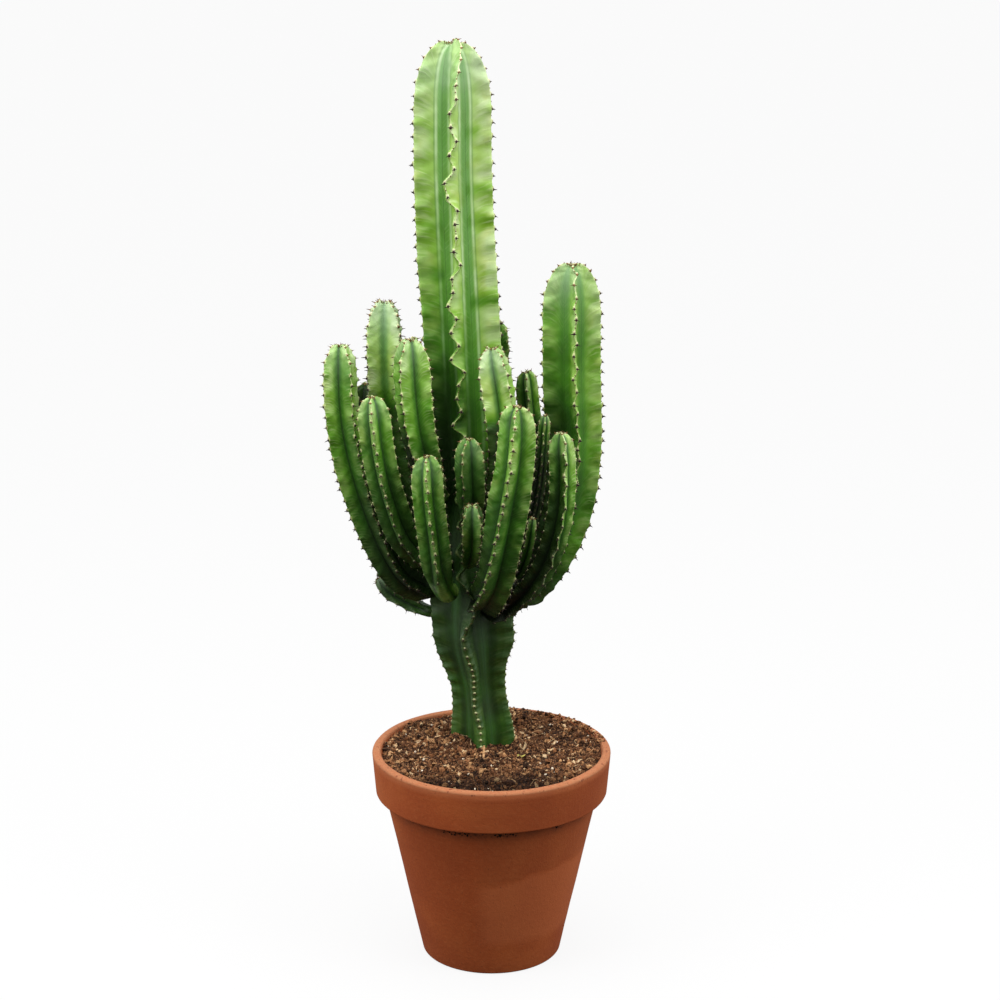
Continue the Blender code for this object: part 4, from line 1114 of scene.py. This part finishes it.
    def build_spines(self, material, slot, wanted, draw):
        """A pair of spines and its shield on every tooth, and short new ones round the tip."""
        heap = Heap("young", "point", "pad")
        size = float(np.clip(self.tip_radius / FULL_SPINE_RADIUS, LEAST_SPINE_SIZE, 1.0))
        for rib in range(RIBS):
            edge = self.rib_points(rib, 0, 1)
            out, aside = self.outward(rib), self.outward(rib + 1)
            for index in np.nonzero(self.ticks % RINGS_A_TOOTH == 0)[0]:
                spot = edge[index]
                share = wanted(spot, self.distance[index])
                if share <= 0.0:
                    continue
                young = float(np.exp(-(self.length - self.distance[index]) / (0.9 * self.tip_radius)))
                up = unit(edge[min(index + 1, len(edge) - 1)] - edge[max(index - 1, 0)])
                level = aside[index]
                lift = unit(np.cross(level, up))
                lift = lift * math.copysign(1.0, lift.dot(out[index]))
                lift = unit(lift + 0.35 * self.along[index] * (1.0 - self.shrink[index]))
                grown = size * share * draw.uniform(*SPINE_SIZES) * (1.0 - 0.15 * young)
                add_shield(heap, spot, level, up, lift, max(grown, LEAST_SHIELD), young)
                fresh = 1.0 - float(self.age_and_shade_at(self.length - self.distance[index], spot[2])) / DARKEST
                fresh += OLD_PAD_PALER * (1.0 - share)
                pad = spot + up * PAD_UP * max(grown, LEAST_PAD) - lift * PAD_SINK
                add_shield(heap, pad, level * (1.0 + OLD_PAD_WIDER * (1.0 - share)), up, lift,
                           PAD_SIZE * max(grown, LEAST_PAD), fresh, 1.0)
                if share <= SPINELESS:
                    continue
                if draw.random() < BETWEEN_EYES:
                    between = edge[min(index + RINGS_A_TOOTH // 2, len(edge) - 1)]
                    add_shield(heap, between, level, up, lift, 0.5 * size, 0.3 + 0.7 * young)
                for hand in (-1.0, 1.0):
                    spread = SPINE_SPREAD + draw.uniform(*SPINE_SPREADS)
                    tilt = draw.uniform(*SPINE_TILTS)
                    way = lift * math.cos(spread) + level * hand * math.sin(spread) + up * tilt
                    length = WING_SPINE_LENGTH if self.winged else SPINE_LENGTH
                    length = length * max(grown, LEAST_SPINE) * draw.uniform(*SPINE_LENGTHS)
                    root = spot + level * hand * SPINES_APART * grown
                    add_spine(heap, root, unit(way), -up, length, SPINE_RADIUS * grown, young)
        self.add_growth(heap, draw, size)
        heap.build(self.name + "_spines", material, slot)

    def add_growth(self, heap, draw, size):
        """Short red-brown spines and scales that crowd round the growing point."""
        along = self.along[-1]
        top = self.centre[-1] - along * CROWN_DIP * self.full[-1]
        for number in range(GROWTH_SPINES):
            angle = number * GROWTH_ANGLE + self.number
            way = self.front[-1] * math.cos(angle) + self.side[-1] * math.sin(angle)
            root = top + way * draw.uniform(*GROWTH_AWAY) * self.tip_radius - along * GROWTH_SINK
            lean = unit(along + way * draw.uniform(*GROWTH_LEANS))
            length = draw.uniform(*GROWTH_LENGTHS) * size
            radius = draw.uniform(*GROWTH_RADII) * size
            add_spine(heap, root, lean, way, length, radius, draw.uniform(*GROWTH_YOUNG))


def add_spine(heap, root, way, bow, length, radius, young):
    """A slightly bowed cone with its foot sunk in."""
    side = unit(np.cross(way, bow))
    over = np.cross(side, way)
    points = []
    for ring in range(SPINE_RINGS):
        share = ring / SPINE_RINGS
        middle = root + way * length * (share * 1.12 - 0.12) + over * SPINE_BOW * length * share * share
        wide = radius * (1.0 - share) ** 0.65
        for step in range(SPINE_SIDES):
            x, y = round_about(1.0, TURN * step / SPINE_SIDES)
            points.append(middle + (side * x + over * y) * wide)
    points.append(root + way * length + over * SPINE_BOW * length)
    top = SPINE_RINGS * SPINE_SIDES
    faces = grid_faces(SPINE_RINGS, SPINE_SIDES) + fan_faces(top - SPINE_SIDES, SPINE_SIDES, top)
    faces.append(tuple(range(SPINE_SIDES))[::-1])
    share_of = np.append(np.repeat(np.arange(SPINE_RINGS) / SPINE_RINGS, SPINE_SIDES), 1.0)
    heap.add(np.array(points), faces, young=young, point=share_of, pad=0.0)


def add_shield(heap, spot, level, up, lift, grown, young, pad=0.0):
    """The small horny shield that a pair of spines stands on, or the cream pad above it."""
    points = []
    for height, wide in SHIELD_PROFILE:
        for step in range(SHIELD_SIDES):
            x, y = round_about(wide, TURN * step / SHIELD_SIDES)
            rise = lift * SHIELD_HEIGHT * height
            points.append(spot + (rise + up * SHIELD_LENGTH * x + level * SHIELD_WIDTH * y) * grown)
    points.append(spot + lift * SHIELD_HEIGHT * grown)
    top = len(points) - 1
    faces = grid_faces(len(SHIELD_PROFILE), SHIELD_SIDES) + fan_faces(top - SHIELD_SIDES, SHIELD_SIDES, top)
    faces.append(tuple(range(SHIELD_SIDES))[::-1])
    heap.add(np.array(points), faces, young=young, point=0.25, pad=pad)


def main_stem():
    """The trunk and the tall column above it."""
    route = np.array(MAIN_DESIGN["route"], float) * MM
    sizes = np.array(MAIN_RADII) * MM
    marks = marks_along(route) / marks_along(smooth_route(MAIN_DESIGN["route"]))[-1]

    def radius_at(share):
        index = np.clip(np.searchsorted(marks, share, side="right") - 1, 0, len(marks) - 2)
        part = smooth((share - marks[index]) / (marks[index + 1] - marks[index]))
        return sizes[index] + (sizes[index + 1] - sizes[index]) * part

    def face_at(share):
        part = np.clip((share - MAIN_TURN_FROM) / MAIN_TURN_OVER, 0.0, 1.0)
        return MAIN_FACE_LOW + (MAIN_FACE_TOP - MAIN_FACE_LOW) * part

    def wave_at(share):
        return MAIN_WAVE * np.clip((share - STRAIGHT_SHARE) / (WAVED_SHARE - STRAIGHT_SHARE), 0.0, 1.0)

    def tooth_at(distance):
        height = distance + route[0][2]
        part = smooth((height - TRUNK_TOOTH_TO) / (MAIN_TOOTH_FROM - TRUNK_TOOTH_TO))
        return TRUNK_TOOTH + (MAIN_TOOTH - TRUNK_TOOTH) * part

    def age_and_shade_at(from_tip, height):
        return table_value(MAIN_AGE_AND_SHADE, height / MM)

    pairs = [(height * MM, aside * MM) for height, aside in FRONT_LOW + FRONT_CROWN]
    pairs += [(FRONT_TOP - MAIN_TOOTH * step, aside * MM) for step, aside in enumerate(FRONT_TEETH)]
    front = np.array(sorted(pairs)).T
    return Stem("main_stem", 0, MAIN_DESIGN, radius_at, face_at, wave_at, tooth_at, age_and_shade_at, front)


def branch_stem(name, number, design):
    """A branch from its entry in the table of branches."""
    low, tip = (value * MM for value in design["radius"])
    face_low, face_tip = (math.radians(value) for value in design["face"])

    def radius_at(share):
        return low + (tip - low) * np.clip(share / BRANCH_FULL_AT, 0.0, 1.0)

    def face_at(share):
        return face_low + (face_tip - face_low) * np.clip(share / BRANCH_TURNED_AT, 0.0, 1.0)

    def wave_at(share):
        return np.full(np.shape(share), design["wave"] * BRANCH_WAVE * MM)

    def tooth_at(distance):
        return np.full(np.shape(distance), WINGED_BRANCH_TOOTH if "winged" in design else BRANCH_TOOTH)

    def age_and_shade_at(from_tip, height):
        by_tip = table_value(BRANCH_AGE_BY_TIP, from_tip / MM)
        by_height = table_value(BRANCH_AGE_AND_SHADE_BY_HEIGHT, height / MM)
        # Painted shade where the branch stands deep among the others
        deep_from, deep_to, deep_shade = design.get("deep", (0.0, -1.0, 0.0))
        deep = smooth((deep_from - height / MM) / (deep_from - deep_to))
        return np.clip(np.clip(by_tip + by_height + design["dark"], 0.0, 1.0) + deep_shade * deep, 0.0, DARKEST)

    return Stem(name, number, design, radius_at, face_at, wave_at, tooth_at, age_and_shade_at)


def build_plant(draw):
    """The main stem and all its branches, with their spines."""
    winged_skin = skin_material("winged_skin", 5.2 * MM, 0.42, 0.35, 0.35, 0.0, True)
    ribbed_skin = skin_material("ribbed_skin", 3.4 * MM, 0.52, 0.4, 0.05, 0.32, False)
    spines = spine_material()
    column = main_stem()
    column.build_skin(winged_skin, "main_stem_green")
    roots = [np.array(design["route"][0], float) * MM for design in BRANCHES.values()]

    def on_main(spot, distance):
        clear = all(np.linalg.norm(spot - root) > ROOT_CLEAR for root in roots)
        if not clear or spot[2] < SOIL_LEVEL + 3.0 * MM:
            return 0.0
        return float(np.interp(spot[2], (TRUNK_SPINES_FROM, TRUNK_SPINES_TO), (0.2, 1.0)))

    column.build_spines(spines, "main_stem_green", on_main, draw)
    for number, (name, design) in enumerate(BRANCHES.items(), 1):
        stem = branch_stem(name, number, design)
        stem.build_skin(winged_skin if stem.winged else ribbed_skin, "branch_green")
        bare = max(1.3 * stem.full.max(), 1.1 * stem.bare)
        stem.build_spines(spines, "branch_green", lambda spot, distance: float(distance > bare), draw)


# Pot


def arc(centre_r, centre_z, radius, start, end, steps):
    """Points of a round stretch in a turned profile, angles in degrees."""
    angles = [math.radians(start + (end - start) * step / steps) for step in range(steps + 1)]
    return [(centre_r + radius * math.cos(angle), centre_z + radius * math.sin(angle)) for angle in angles]


def stretch(one, other, steps):
    """Points between two points of a profile, the ends left out."""
    shares = [step / steps for step in range(1, steps)]
    return [(one[0] + (other[0] - one[0]) * share, one[1] + (other[1] - one[1]) * share) for share in shares]


def body_radius(z):
    """The pot body's outer radius at a height."""
    return BASE_RADIUS + BODY_FLARE * z


def inner_radius(z):
    """The pot's inner radius at a height."""
    low = FLOOR_THICKNESS + FLOOR_CORNER
    return INNER_FLOOR_RADIUS + (MOUTH - INNER_FLOOR_RADIUS) * (z - low) / (POT_HEIGHT - LIP_ROUND_IN - low)


def pot_profile():
    """Half of the pot's outline, from the middle of its floor over the lip to the middle of its underside."""
    corner = INNER_FLOOR_RADIUS - FLOOR_CORNER
    floor = [(0.0, FLOOR_THICKNESS), (corner, FLOOR_THICKNESS)]
    floor += arc(corner, FLOOR_THICKNESS + FLOOR_CORNER, FLOOR_CORNER, -70, -10, 3)
    lip_in = arc(MOUTH + LIP_ROUND_IN, POT_HEIGHT - LIP_ROUND_IN, LIP_ROUND_IN, 180, 90, 6)
    lip_out = arc(RIM_RADIUS - LIP_ROUND_OUT, POT_HEIGHT - LIP_ROUND_OUT, LIP_ROUND_OUT, 90, 0, 8)
    band = arc(BAND_RADIUS_LOW - BAND_EDGE_ROUND, BAND_BOTTOM + BAND_EDGE_ROUND, BAND_EDGE_ROUND, 0, -90, 6)
    under = [(body_radius(BAND_BOTTOM), BAND_BOTTOM)]
    foot = arc(body_radius(FOOT_ROUND) - FOOT_ROUND, FOOT_ROUND, FOOT_ROUND, -12, -90, 6)
    profile = floor
    for part, steps in ((lip_in, 10), (lip_out, 1), (band, 6), (under, 2), (foot, 14)):
        profile = profile + stretch(profile[-1], part[0], steps) + part
    return profile + [(0.0, 0.0)]


def build_pot(material):
    """The turned pot with its lip, its band and its drain holes."""
    profile = pot_profile()
    mesh = bpy.data.meshes.new("pot_profile")
    mesh.from_pydata([(r, 0.0, z) for r, z in profile], [(i, i + 1) for i in range(len(profile) - 1)], [])
    turned = add_object("pot_profile", mesh)
    screw = turned.modifiers.new("Turn", "SCREW")
    screw.steps = POT_STEPS
    screw.render_steps = POT_STEPS
    screw.use_merge_vertices = True
    screw.merge_threshold = MERGE_WITHIN
    cutters = []
    for number in range(DRAIN_HOLES):
        x, y = round_about(DRAIN_CIRCLE, math.radians(90.0 + 360.0 / DRAIN_HOLES * number))
        bpy.ops.mesh.primitive_cylinder_add(
            vertices=DRAIN_SIDES, radius=DRAIN_RADIUS, depth=FLOOR_THICKNESS * 2,
            location=(x, y, FLOOR_THICKNESS / 2))
        cutters.append(bpy.context.object)
        cut = turned.modifiers.new("Drain hole", "BOOLEAN")
        cut.operation = "DIFFERENCE"
        cut.object = cutters[-1]
        cut.solver = "EXACT"
    bpy.context.view_layer.update()
    made = bpy.data.meshes.new_from_object(turned.evaluated_get(bpy.context.evaluated_depsgraph_get()))
    for old in [turned] + cutters:
        bpy.data.objects.remove(old, do_unlink=True)
    for vertex in made.vertices:
        vertex.co += hand_made(vertex.co)
    made.name = "pot_clay"
    made.materials.clear()
    made.materials.append(material)
    made.polygons.foreach_set("use_smooth", [True] * len(made.polygons))
    made.set_sharp_from_angle(angle=SHARP_ANGLE)
    dress(add_object("pot_clay", made), "terracotta", "pot")


def hand_made(spot):
    """A small wander of the clay from a perfect turned form, none underneath."""
    away = Vector((spot.x, spot.y, 0.0))
    if spot.z < FLAT_BELOW or away.length < 1.0 * MM:
        return Vector()
    slow, quick, up = (depth * noise.noise(spot * scale) for scale, depth in CLAY_WANDER)
    return away.normalized() * (slow + quick) + Vector((0.0, 0.0, up))


# Soil


def soil_height(x, y, fine=True):
    """The height of the soil's lumpy surface."""
    away = (Vector((x, y)) - SOIL_FOOT).length
    height = SOIL_LEVEL + SOIL_MOUND * math.exp(-((away / SOIL_MOUND_WIDTH) ** 2))
    for size, depth in SOIL_OCTAVES if fine else SOIL_OCTAVES[:2]:
        height += depth * noise.noise(Vector((x, y, 0.03)) / size)
    dip = (Vector((x, y)) - SOIL_DIP_PLACE).length / SOIL_DIP_WIDTH
    height -= SOIL_DIP * math.exp(-dip * dip)
    near_wall = (math.hypot(x, y) / inner_radius(SOIL_LEVEL) - SOIL_WALL_FROM) / SOIL_WALL_OVER
    angle = math.atan2(y, x)
    rise = SOIL_FRONT_RISE + (SOIL_BACK_RISE - SOIL_FRONT_RISE) * (0.5 + 0.5 * math.sin(angle))
    heaped = float(smooth(1.4 - abs(angle - SOIL_HEAP_AT) / SOIL_HEAP_SPREAD))
    return height + (rise + SOIL_HEAP_RISE * heaped) * float(smooth(near_wall))


def build_soil(material):
    """The plug of soil with its lumpy top."""
    radius = inner_radius(SOIL_LEVEL) + 1.0 * MM
    points = [(0.0, 0.0, soil_height(0.0, 0.0))]
    for ring in range(1, SOIL_RINGS + 1):
        away = radius * (ring / SOIL_RINGS) ** SOIL_RING_POWER
        edge = max(0.0, (away / radius - SOIL_EDGE_FROM) / (1.0 - SOIL_EDGE_FROM))
        for step in range(SOIL_STEPS):
            x, y = round_about(away, TURN * (step + 0.5 * (ring % 2)) / SOIL_STEPS)
            points.append((x, y, soil_height(x, y) - SOIL_EDGE_DROP * edge))
    low = len(points)
    low_radius = inner_radius(FLOOR_THICKNESS + FLOOR_CORNER) - FLOOR_CORNER
    bottom = FLOOR_THICKNESS + 0.5 * MM
    for step in range(SOIL_STEPS):
        angle = TURN * (step + 0.5 * (SOIL_RINGS % 2)) / SOIL_STEPS
        points.append((*round_about(low_radius, angle), bottom))
    points.append((0.0, 0.0, bottom))
    faces = [(0, 1 + step, 1 + (step + 1) % SOIL_STEPS) for step in range(SOIL_STEPS)]
    faces += grid_faces(SOIL_RINGS, SOIL_STEPS, 1)
    for step in range(SOIL_STEPS):
        after = (step + 1) % SOIL_STEPS
        faces.append((low - SOIL_STEPS + step, low - SOIL_STEPS + after, low + after, low + step))
        faces.append((low + step, low + after, low + SOIL_STEPS))
    faces = [face[::-1] for face in faces]
    piece = add_mesh("soil_bed", points, faces, material, {"tone": np.full(len(points), BED_TONE)})
    dress(piece, "potting_soil", "soil")


def ball(subdivisions):
    """Points and faces of a round template."""
    bpy.ops.mesh.primitive_ico_sphere_add(subdivisions=subdivisions, radius=1.0)
    thing = bpy.context.object
    points = np.array([vertex.co[:] for vertex in thing.data.vertices])
    faces = [tuple(face.vertices) for face in thing.data.polygons]
    bpy.data.objects.remove(thing, do_unlink=True)
    return points, faces


def turn_matrix(draw):
    """A random turn."""
    w, x, y, z = unit(draw.normal(size=4))
    return np.array((
        (1 - 2 * (y * y + z * z), 2 * (x * y - z * w), 2 * (x * z + y * w)),
        (2 * (x * y + z * w), 1 - 2 * (x * x + z * z), 2 * (y * z - x * w)),
        (2 * (x * z - y * w), 2 * (y * z + x * w), 1 - 2 * (x * x + y * y)),
    ))


def random_size(draw, least, more, power):
    """A random size, more often small than large."""
    return least + more * draw.random() ** power


def random_tone(draw, middle, around, least=0.0):
    """A random tone for a crumb or a chip."""
    return float(np.clip(draw.normal(middle, around), least, 1.0))


def rough_ball(points, draw):
    """A round template with its points moved in and out at random."""
    return points * (1.0 + draw.uniform(-0.3, 0.3, size=(len(points), 1)))


def soil_spot(draw, edge=1.0):
    """A random place on the soil, even by area."""
    radius = (inner_radius(SOIL_LEVEL) - 2.0 * MM) * edge * math.sqrt(draw.random())
    return round_about(radius, draw.uniform(0.0, TURN))


def build_crumbs(material, draw):
    """Crumbs of peat and bark all over the soil, more by the trunk, and some spilled on the rim."""
    points, faces = ball(1)
    heap = Heap("tone")
    for number in range(CRUMBS + HEAP_CRUMBS):
        x, y = soil_spot(draw)
        if number >= CRUMBS:
            x, y = (place + spread * draw.normal() for place, spread in zip(HEAP_PLACE, HEAP_SPREAD))
        size = random_size(draw, *CRUMB_SIZE)
        shape = rough_ball(points, draw) * (size * draw.uniform(0.55, 1.5, size=3))
        spot = (x, y, soil_height(x, y) + 0.35 * size)
        tone = random_tone(draw, CRUMB_TONE if number < CRUMBS else HEAP_TONE, 0.27)
        heap.add(shape @ turn_matrix(draw).T + spot, faces, tone=tone)
    for _ in range(SPILLED_CRUMBS):
        angle = SOIL_HEAP_AT + SOIL_HEAP_SPREAD * draw.uniform(-1.0, 1.0)
        away = RIM_RADIUS - draw.uniform(*SPILLED_IN) * MM
        size = random_size(draw, *SPILLED_SIZE)
        shape = rough_ball(points, draw) * (size * draw.uniform(0.6, 1.4, size=3))
        spot = (*round_about(away, angle), POT_HEIGHT + 0.4 * size)
        heap.add(shape @ turn_matrix(draw).T + spot, faces, tone=random_tone(draw, 0.5, 0.25))
    heap.build("soil_crumbs", material, "potting_soil", False)


def build_chips(material, draw):
    """Flat chips of wood and bark that lie at all angles."""
    heap = Heap("tone")
    for _ in range(CHIPS):
        x, y = soil_spot(draw)
        sides = int(draw.integers(4, 7))
        length = random_size(draw, *CHIP_SIZE)
        wide = length * draw.uniform(0.3, 0.75)
        thick = draw.uniform(*CHIP_THICK) * MM
        angles = [TURN * (step + draw.uniform(-0.25, 0.25)) / sides for step in range(sides)]
        ring = np.array([(math.cos(angle) * length, math.sin(angle) * wide, 0.0) for angle in angles])
        ring[:, 2] = 0.18 * length * np.sin(ring[:, 0] / length * 2.0)
        points = np.vstack([ring - (0, 0, thick), ring * (0.9, 0.86, 1.0) + (0, 0, thick)])
        faces = grid_faces(2, sides) + [tuple(range(sides))[::-1], tuple(range(sides, 2 * sides))]
        tilt = draw.normal(0.0, 0.42)
        turn = draw.uniform(0.0, TURN)
        flat, steep = math.cos(tilt), math.sin(tilt)
        lean = np.array(((flat, 0, steep), (0, 1, 0), (-steep, 0, flat)))
        height = soil_height(x, y) + 0.5 * MM + 0.35 * abs(steep) * length
        points = points @ (spin(turn) @ lean).T + (x, y, height)
        heap.add(points, faces, tone=random_tone(draw, CHIP_TONE, 0.24, 0.1))
    heap.build("soil_chips", material, "potting_soil", False)


def build_stuck_soil(material, draw):
    """Small dark crumbs stuck to the clay in the corner under the band."""
    points, faces = ball(1)
    heap = Heap("tone")
    for middle, count, spread in STUCK_SOIL:
        for _ in range(count):
            angle = math.radians(middle + spread * draw.normal())
            z = BAND_BOTTOM - 3.0 * MM - 4.6 * MM * draw.random() ** 1.4
            away = body_radius(z)
            size = draw.uniform(*STUCK_SIZE) * MM
            spot = (away * math.sin(angle), -away * math.cos(angle), z)
            heap.add(rough_ball(points, draw) * size + spot, faces, tone=0.0)
    heap.build("stuck_soil", material, "potting_soil", False)


def build_landmarks(material):
    """The few larger bits that stand out: a curled chip, an upright splinter, a yellow-green flake."""
    heap = Heap("tone")
    for x, y, turn, length, wide, curl, lean, tone in LANDMARKS:
        rows = []
        for step in range(LANDMARK_STEPS + 1):
            share = step / LANDMARK_STEPS
            bend = curl * (share - 0.5)
            along = length * (share - 0.5) * math.cos(bend)
            rise = length * 0.5 * abs(math.sin(bend)) + lean * length * share
            half = 0.5 * wide * (0.55 + 0.45 * math.sin(math.pi * (0.15 + 0.7 * share)))
            for side, lift in ((-1, 0.0), (1, 0.0), (1, LANDMARK_THICK), (-1, LANDMARK_THICK)):
                rows.append((along, side * half, rise + lift))
        faces = grid_faces(LANDMARK_STEPS + 1, 4)
        faces += [(3, 2, 1, 0), tuple(4 * LANDMARK_STEPS + i for i in range(4))]
        foot = (x * MM, y * MM, soil_height(x * MM, y * MM) + 0.8 * MM)
        heap.add(np.array(rows) * MM @ spin(turn).T + foot, faces, tone=tone)
    heap.build("soil_landmarks", material, "potting_soil")


def build_perlite(material, draw):
    """White volcanic grains all over the soil."""
    points, faces = ball(2)
    heap = Heap()
    for _ in range(GRAINS):
        x, y = soil_spot(draw)
        size = random_size(draw, *GRAIN_SIZE)
        bumps = np.array([noise.noise(Vector(point) * 1.7 + Vector((x, y, 0.0)) * 900.0) for point in points])
        shape = points * (1.0 + 0.45 * bumps)[:, None] * (size * draw.uniform(0.75, 1.3, size=3))
        heap.add(shape + (x, y, soil_height(x, y) + 0.35 * size), faces)
    heap.build("soil_perlite", material, "potting_soil")


def build_fibres(material, draw):
    """Thin bowed fibres and root hairs."""
    heap = Heap("tone")
    for _ in range(FIBRES):
        x, y = soil_spot(draw, 0.97)
        length = draw.uniform(*FIBRE_LENGTH) * MM
        radius = draw.uniform(*FIBRE_RADIUS) * MM
        angle = draw.uniform(0.0, TURN)
        bow = draw.uniform(-0.5, 0.5)
        rise = draw.uniform(*FIBRE_RISE) * MM
        points = []
        for ring in range(FIBRE_RINGS):
            share = ring / (FIBRE_RINGS - 1)
            along = (share - 0.5) * length
            aside = bow * length * (share - 0.5) ** 2 * 2.0
            px = x + along * math.cos(angle) - aside * math.sin(angle)
            py = y + along * math.sin(angle) + aside * math.cos(angle)
            pz = soil_height(px, py, False) + rise * math.sin(math.pi * share) + 0.8 * MM
            for step in range(4):
                turn = math.pi / 2 * step
                across = np.array((-math.sin(angle), math.cos(angle), 0.0)) * math.cos(turn)
                points.append((px, py, pz) + (across + (0, 0, math.sin(turn))) * radius)
        faces = grid_faces(FIBRE_RINGS, 4) + [(3, 2, 1, 0), tuple(4 * FIBRE_RINGS - 4 + i for i in range(4))]
        heap.add(np.array(points), faces, tone=float(draw.uniform(0.6, 1.0)))
    heap.build("soil_fibres", material, "potting_soil")


# Stage


def area_light(name, place, size, power):
    """A soft light that faces the plant's middle."""
    data = bpy.data.lights.new(name, "AREA")
    data.shape = "RECTANGLE"
    data.size, data.size_y = size
    data.energy = power
    lamp = add_object(name, data)
    lamp.location = place
    lamp.rotation_euler = (LAMP_TARGET - Vector(place)).to_track_quat("-Z", "Y").to_euler()


def build_floor():
    """A pale floor that glows a little and throws no light of its own on the plant."""
    bpy.ops.mesh.primitive_circle_add(vertices=96, radius=FLOOR_RADIUS, fill_type="NGON", location=FLOOR_AT)
    floor = bpy.context.object
    floor.name = "floor"
    g = material_graph("floor", 0.9, 0.0)
    g.shader["Emission Color"].default_value = srgb(*PAPER_TONE)
    g.shader["Emission Strength"].default_value = FLOOR_GLOW
    g.shader["Base Color"].default_value = (FLOOR_TONE, FLOOR_TONE, FLOOR_TONE, 1.0)
    floor.data.materials.append(g.owner)
    floor.visible_diffuse = False
    floor.visible_glossy = False


def build_sky():
    """Soft light from above, behind and both sides, little from the front or below."""
    world = bpy.data.worlds.new("studio")
    bpy.context.scene.world = world
    g = Graph(world)
    x, y, z = g.split(g.place("Generated"))
    glow = g.plus(g.spread(g.maths("ABSOLUTE", x), 0.25, 0.95, 0.0, SKY_SIDES), SKY_LEAST)
    glow = g.plus(g.spread(y, 0.1, 0.9, 0.0, SKY_BACK), glow)
    glow = g.plus(g.spread(z, 0.15, 0.95, 0.0, SKY_TOP), glow)
    sky = g.tree.nodes["Background"]
    g.plug(sky.inputs["Strength"], g.times(glow, g.spread(z, -0.45, 0.1, SKY_BELOW, 1.0)))
    g.plug(sky.inputs["Color"], (1.0, 1.0, 1.0, 1.0))
    # Where the floor ends the paper goes on behind it, as pale as the floor
    paper = g.node("Background", [("Color", srgb(*PAPER_TONE))])
    seen = g.node("LightPath").outputs["Is Camera Ray"]
    pick = g.node("MixShader", enumerate((seen, sky.outputs[0], paper.outputs[0])))
    g.plug(g.tree.nodes["World Output"].inputs["Surface"], pick.outputs[0])


def build_camera():
    """The camera that sees the object as the photograph does."""
    data = bpy.data.cameras.new("camera")
    data.sensor_width = SENSOR_WIDTH
    data.lens = LENS
    data.shift_x = LENS_SHIFT
    camera = add_object("camera", data)
    camera.location = CAMERA_PLACE
    camera.rotation_euler = (math.pi / 2 - CAMERA_PITCH, 0.0, 0.0)
    bpy.context.scene.camera = camera


def build():
    """Everything in the scene."""
    draw = np.random.default_rng(SEED)
    build_camera()
    build_floor()
    build_sky()
    for name, place, size, power in LAMPS:
        area_light(name, place, size, power)
    build_plant(draw)
    build_pot(clay_material())
    earth = soil_material()
    build_soil(earth)
    build_crumbs(earth, draw)
    build_stuck_soil(earth, draw)
    build_chips(earth, draw)
    build_landmarks(earth)
    build_perlite(perlite_material(), draw)
    build_fibres(earth, draw)
    bpy.context.scene.view_settings.view_transform = "Standard"


build()
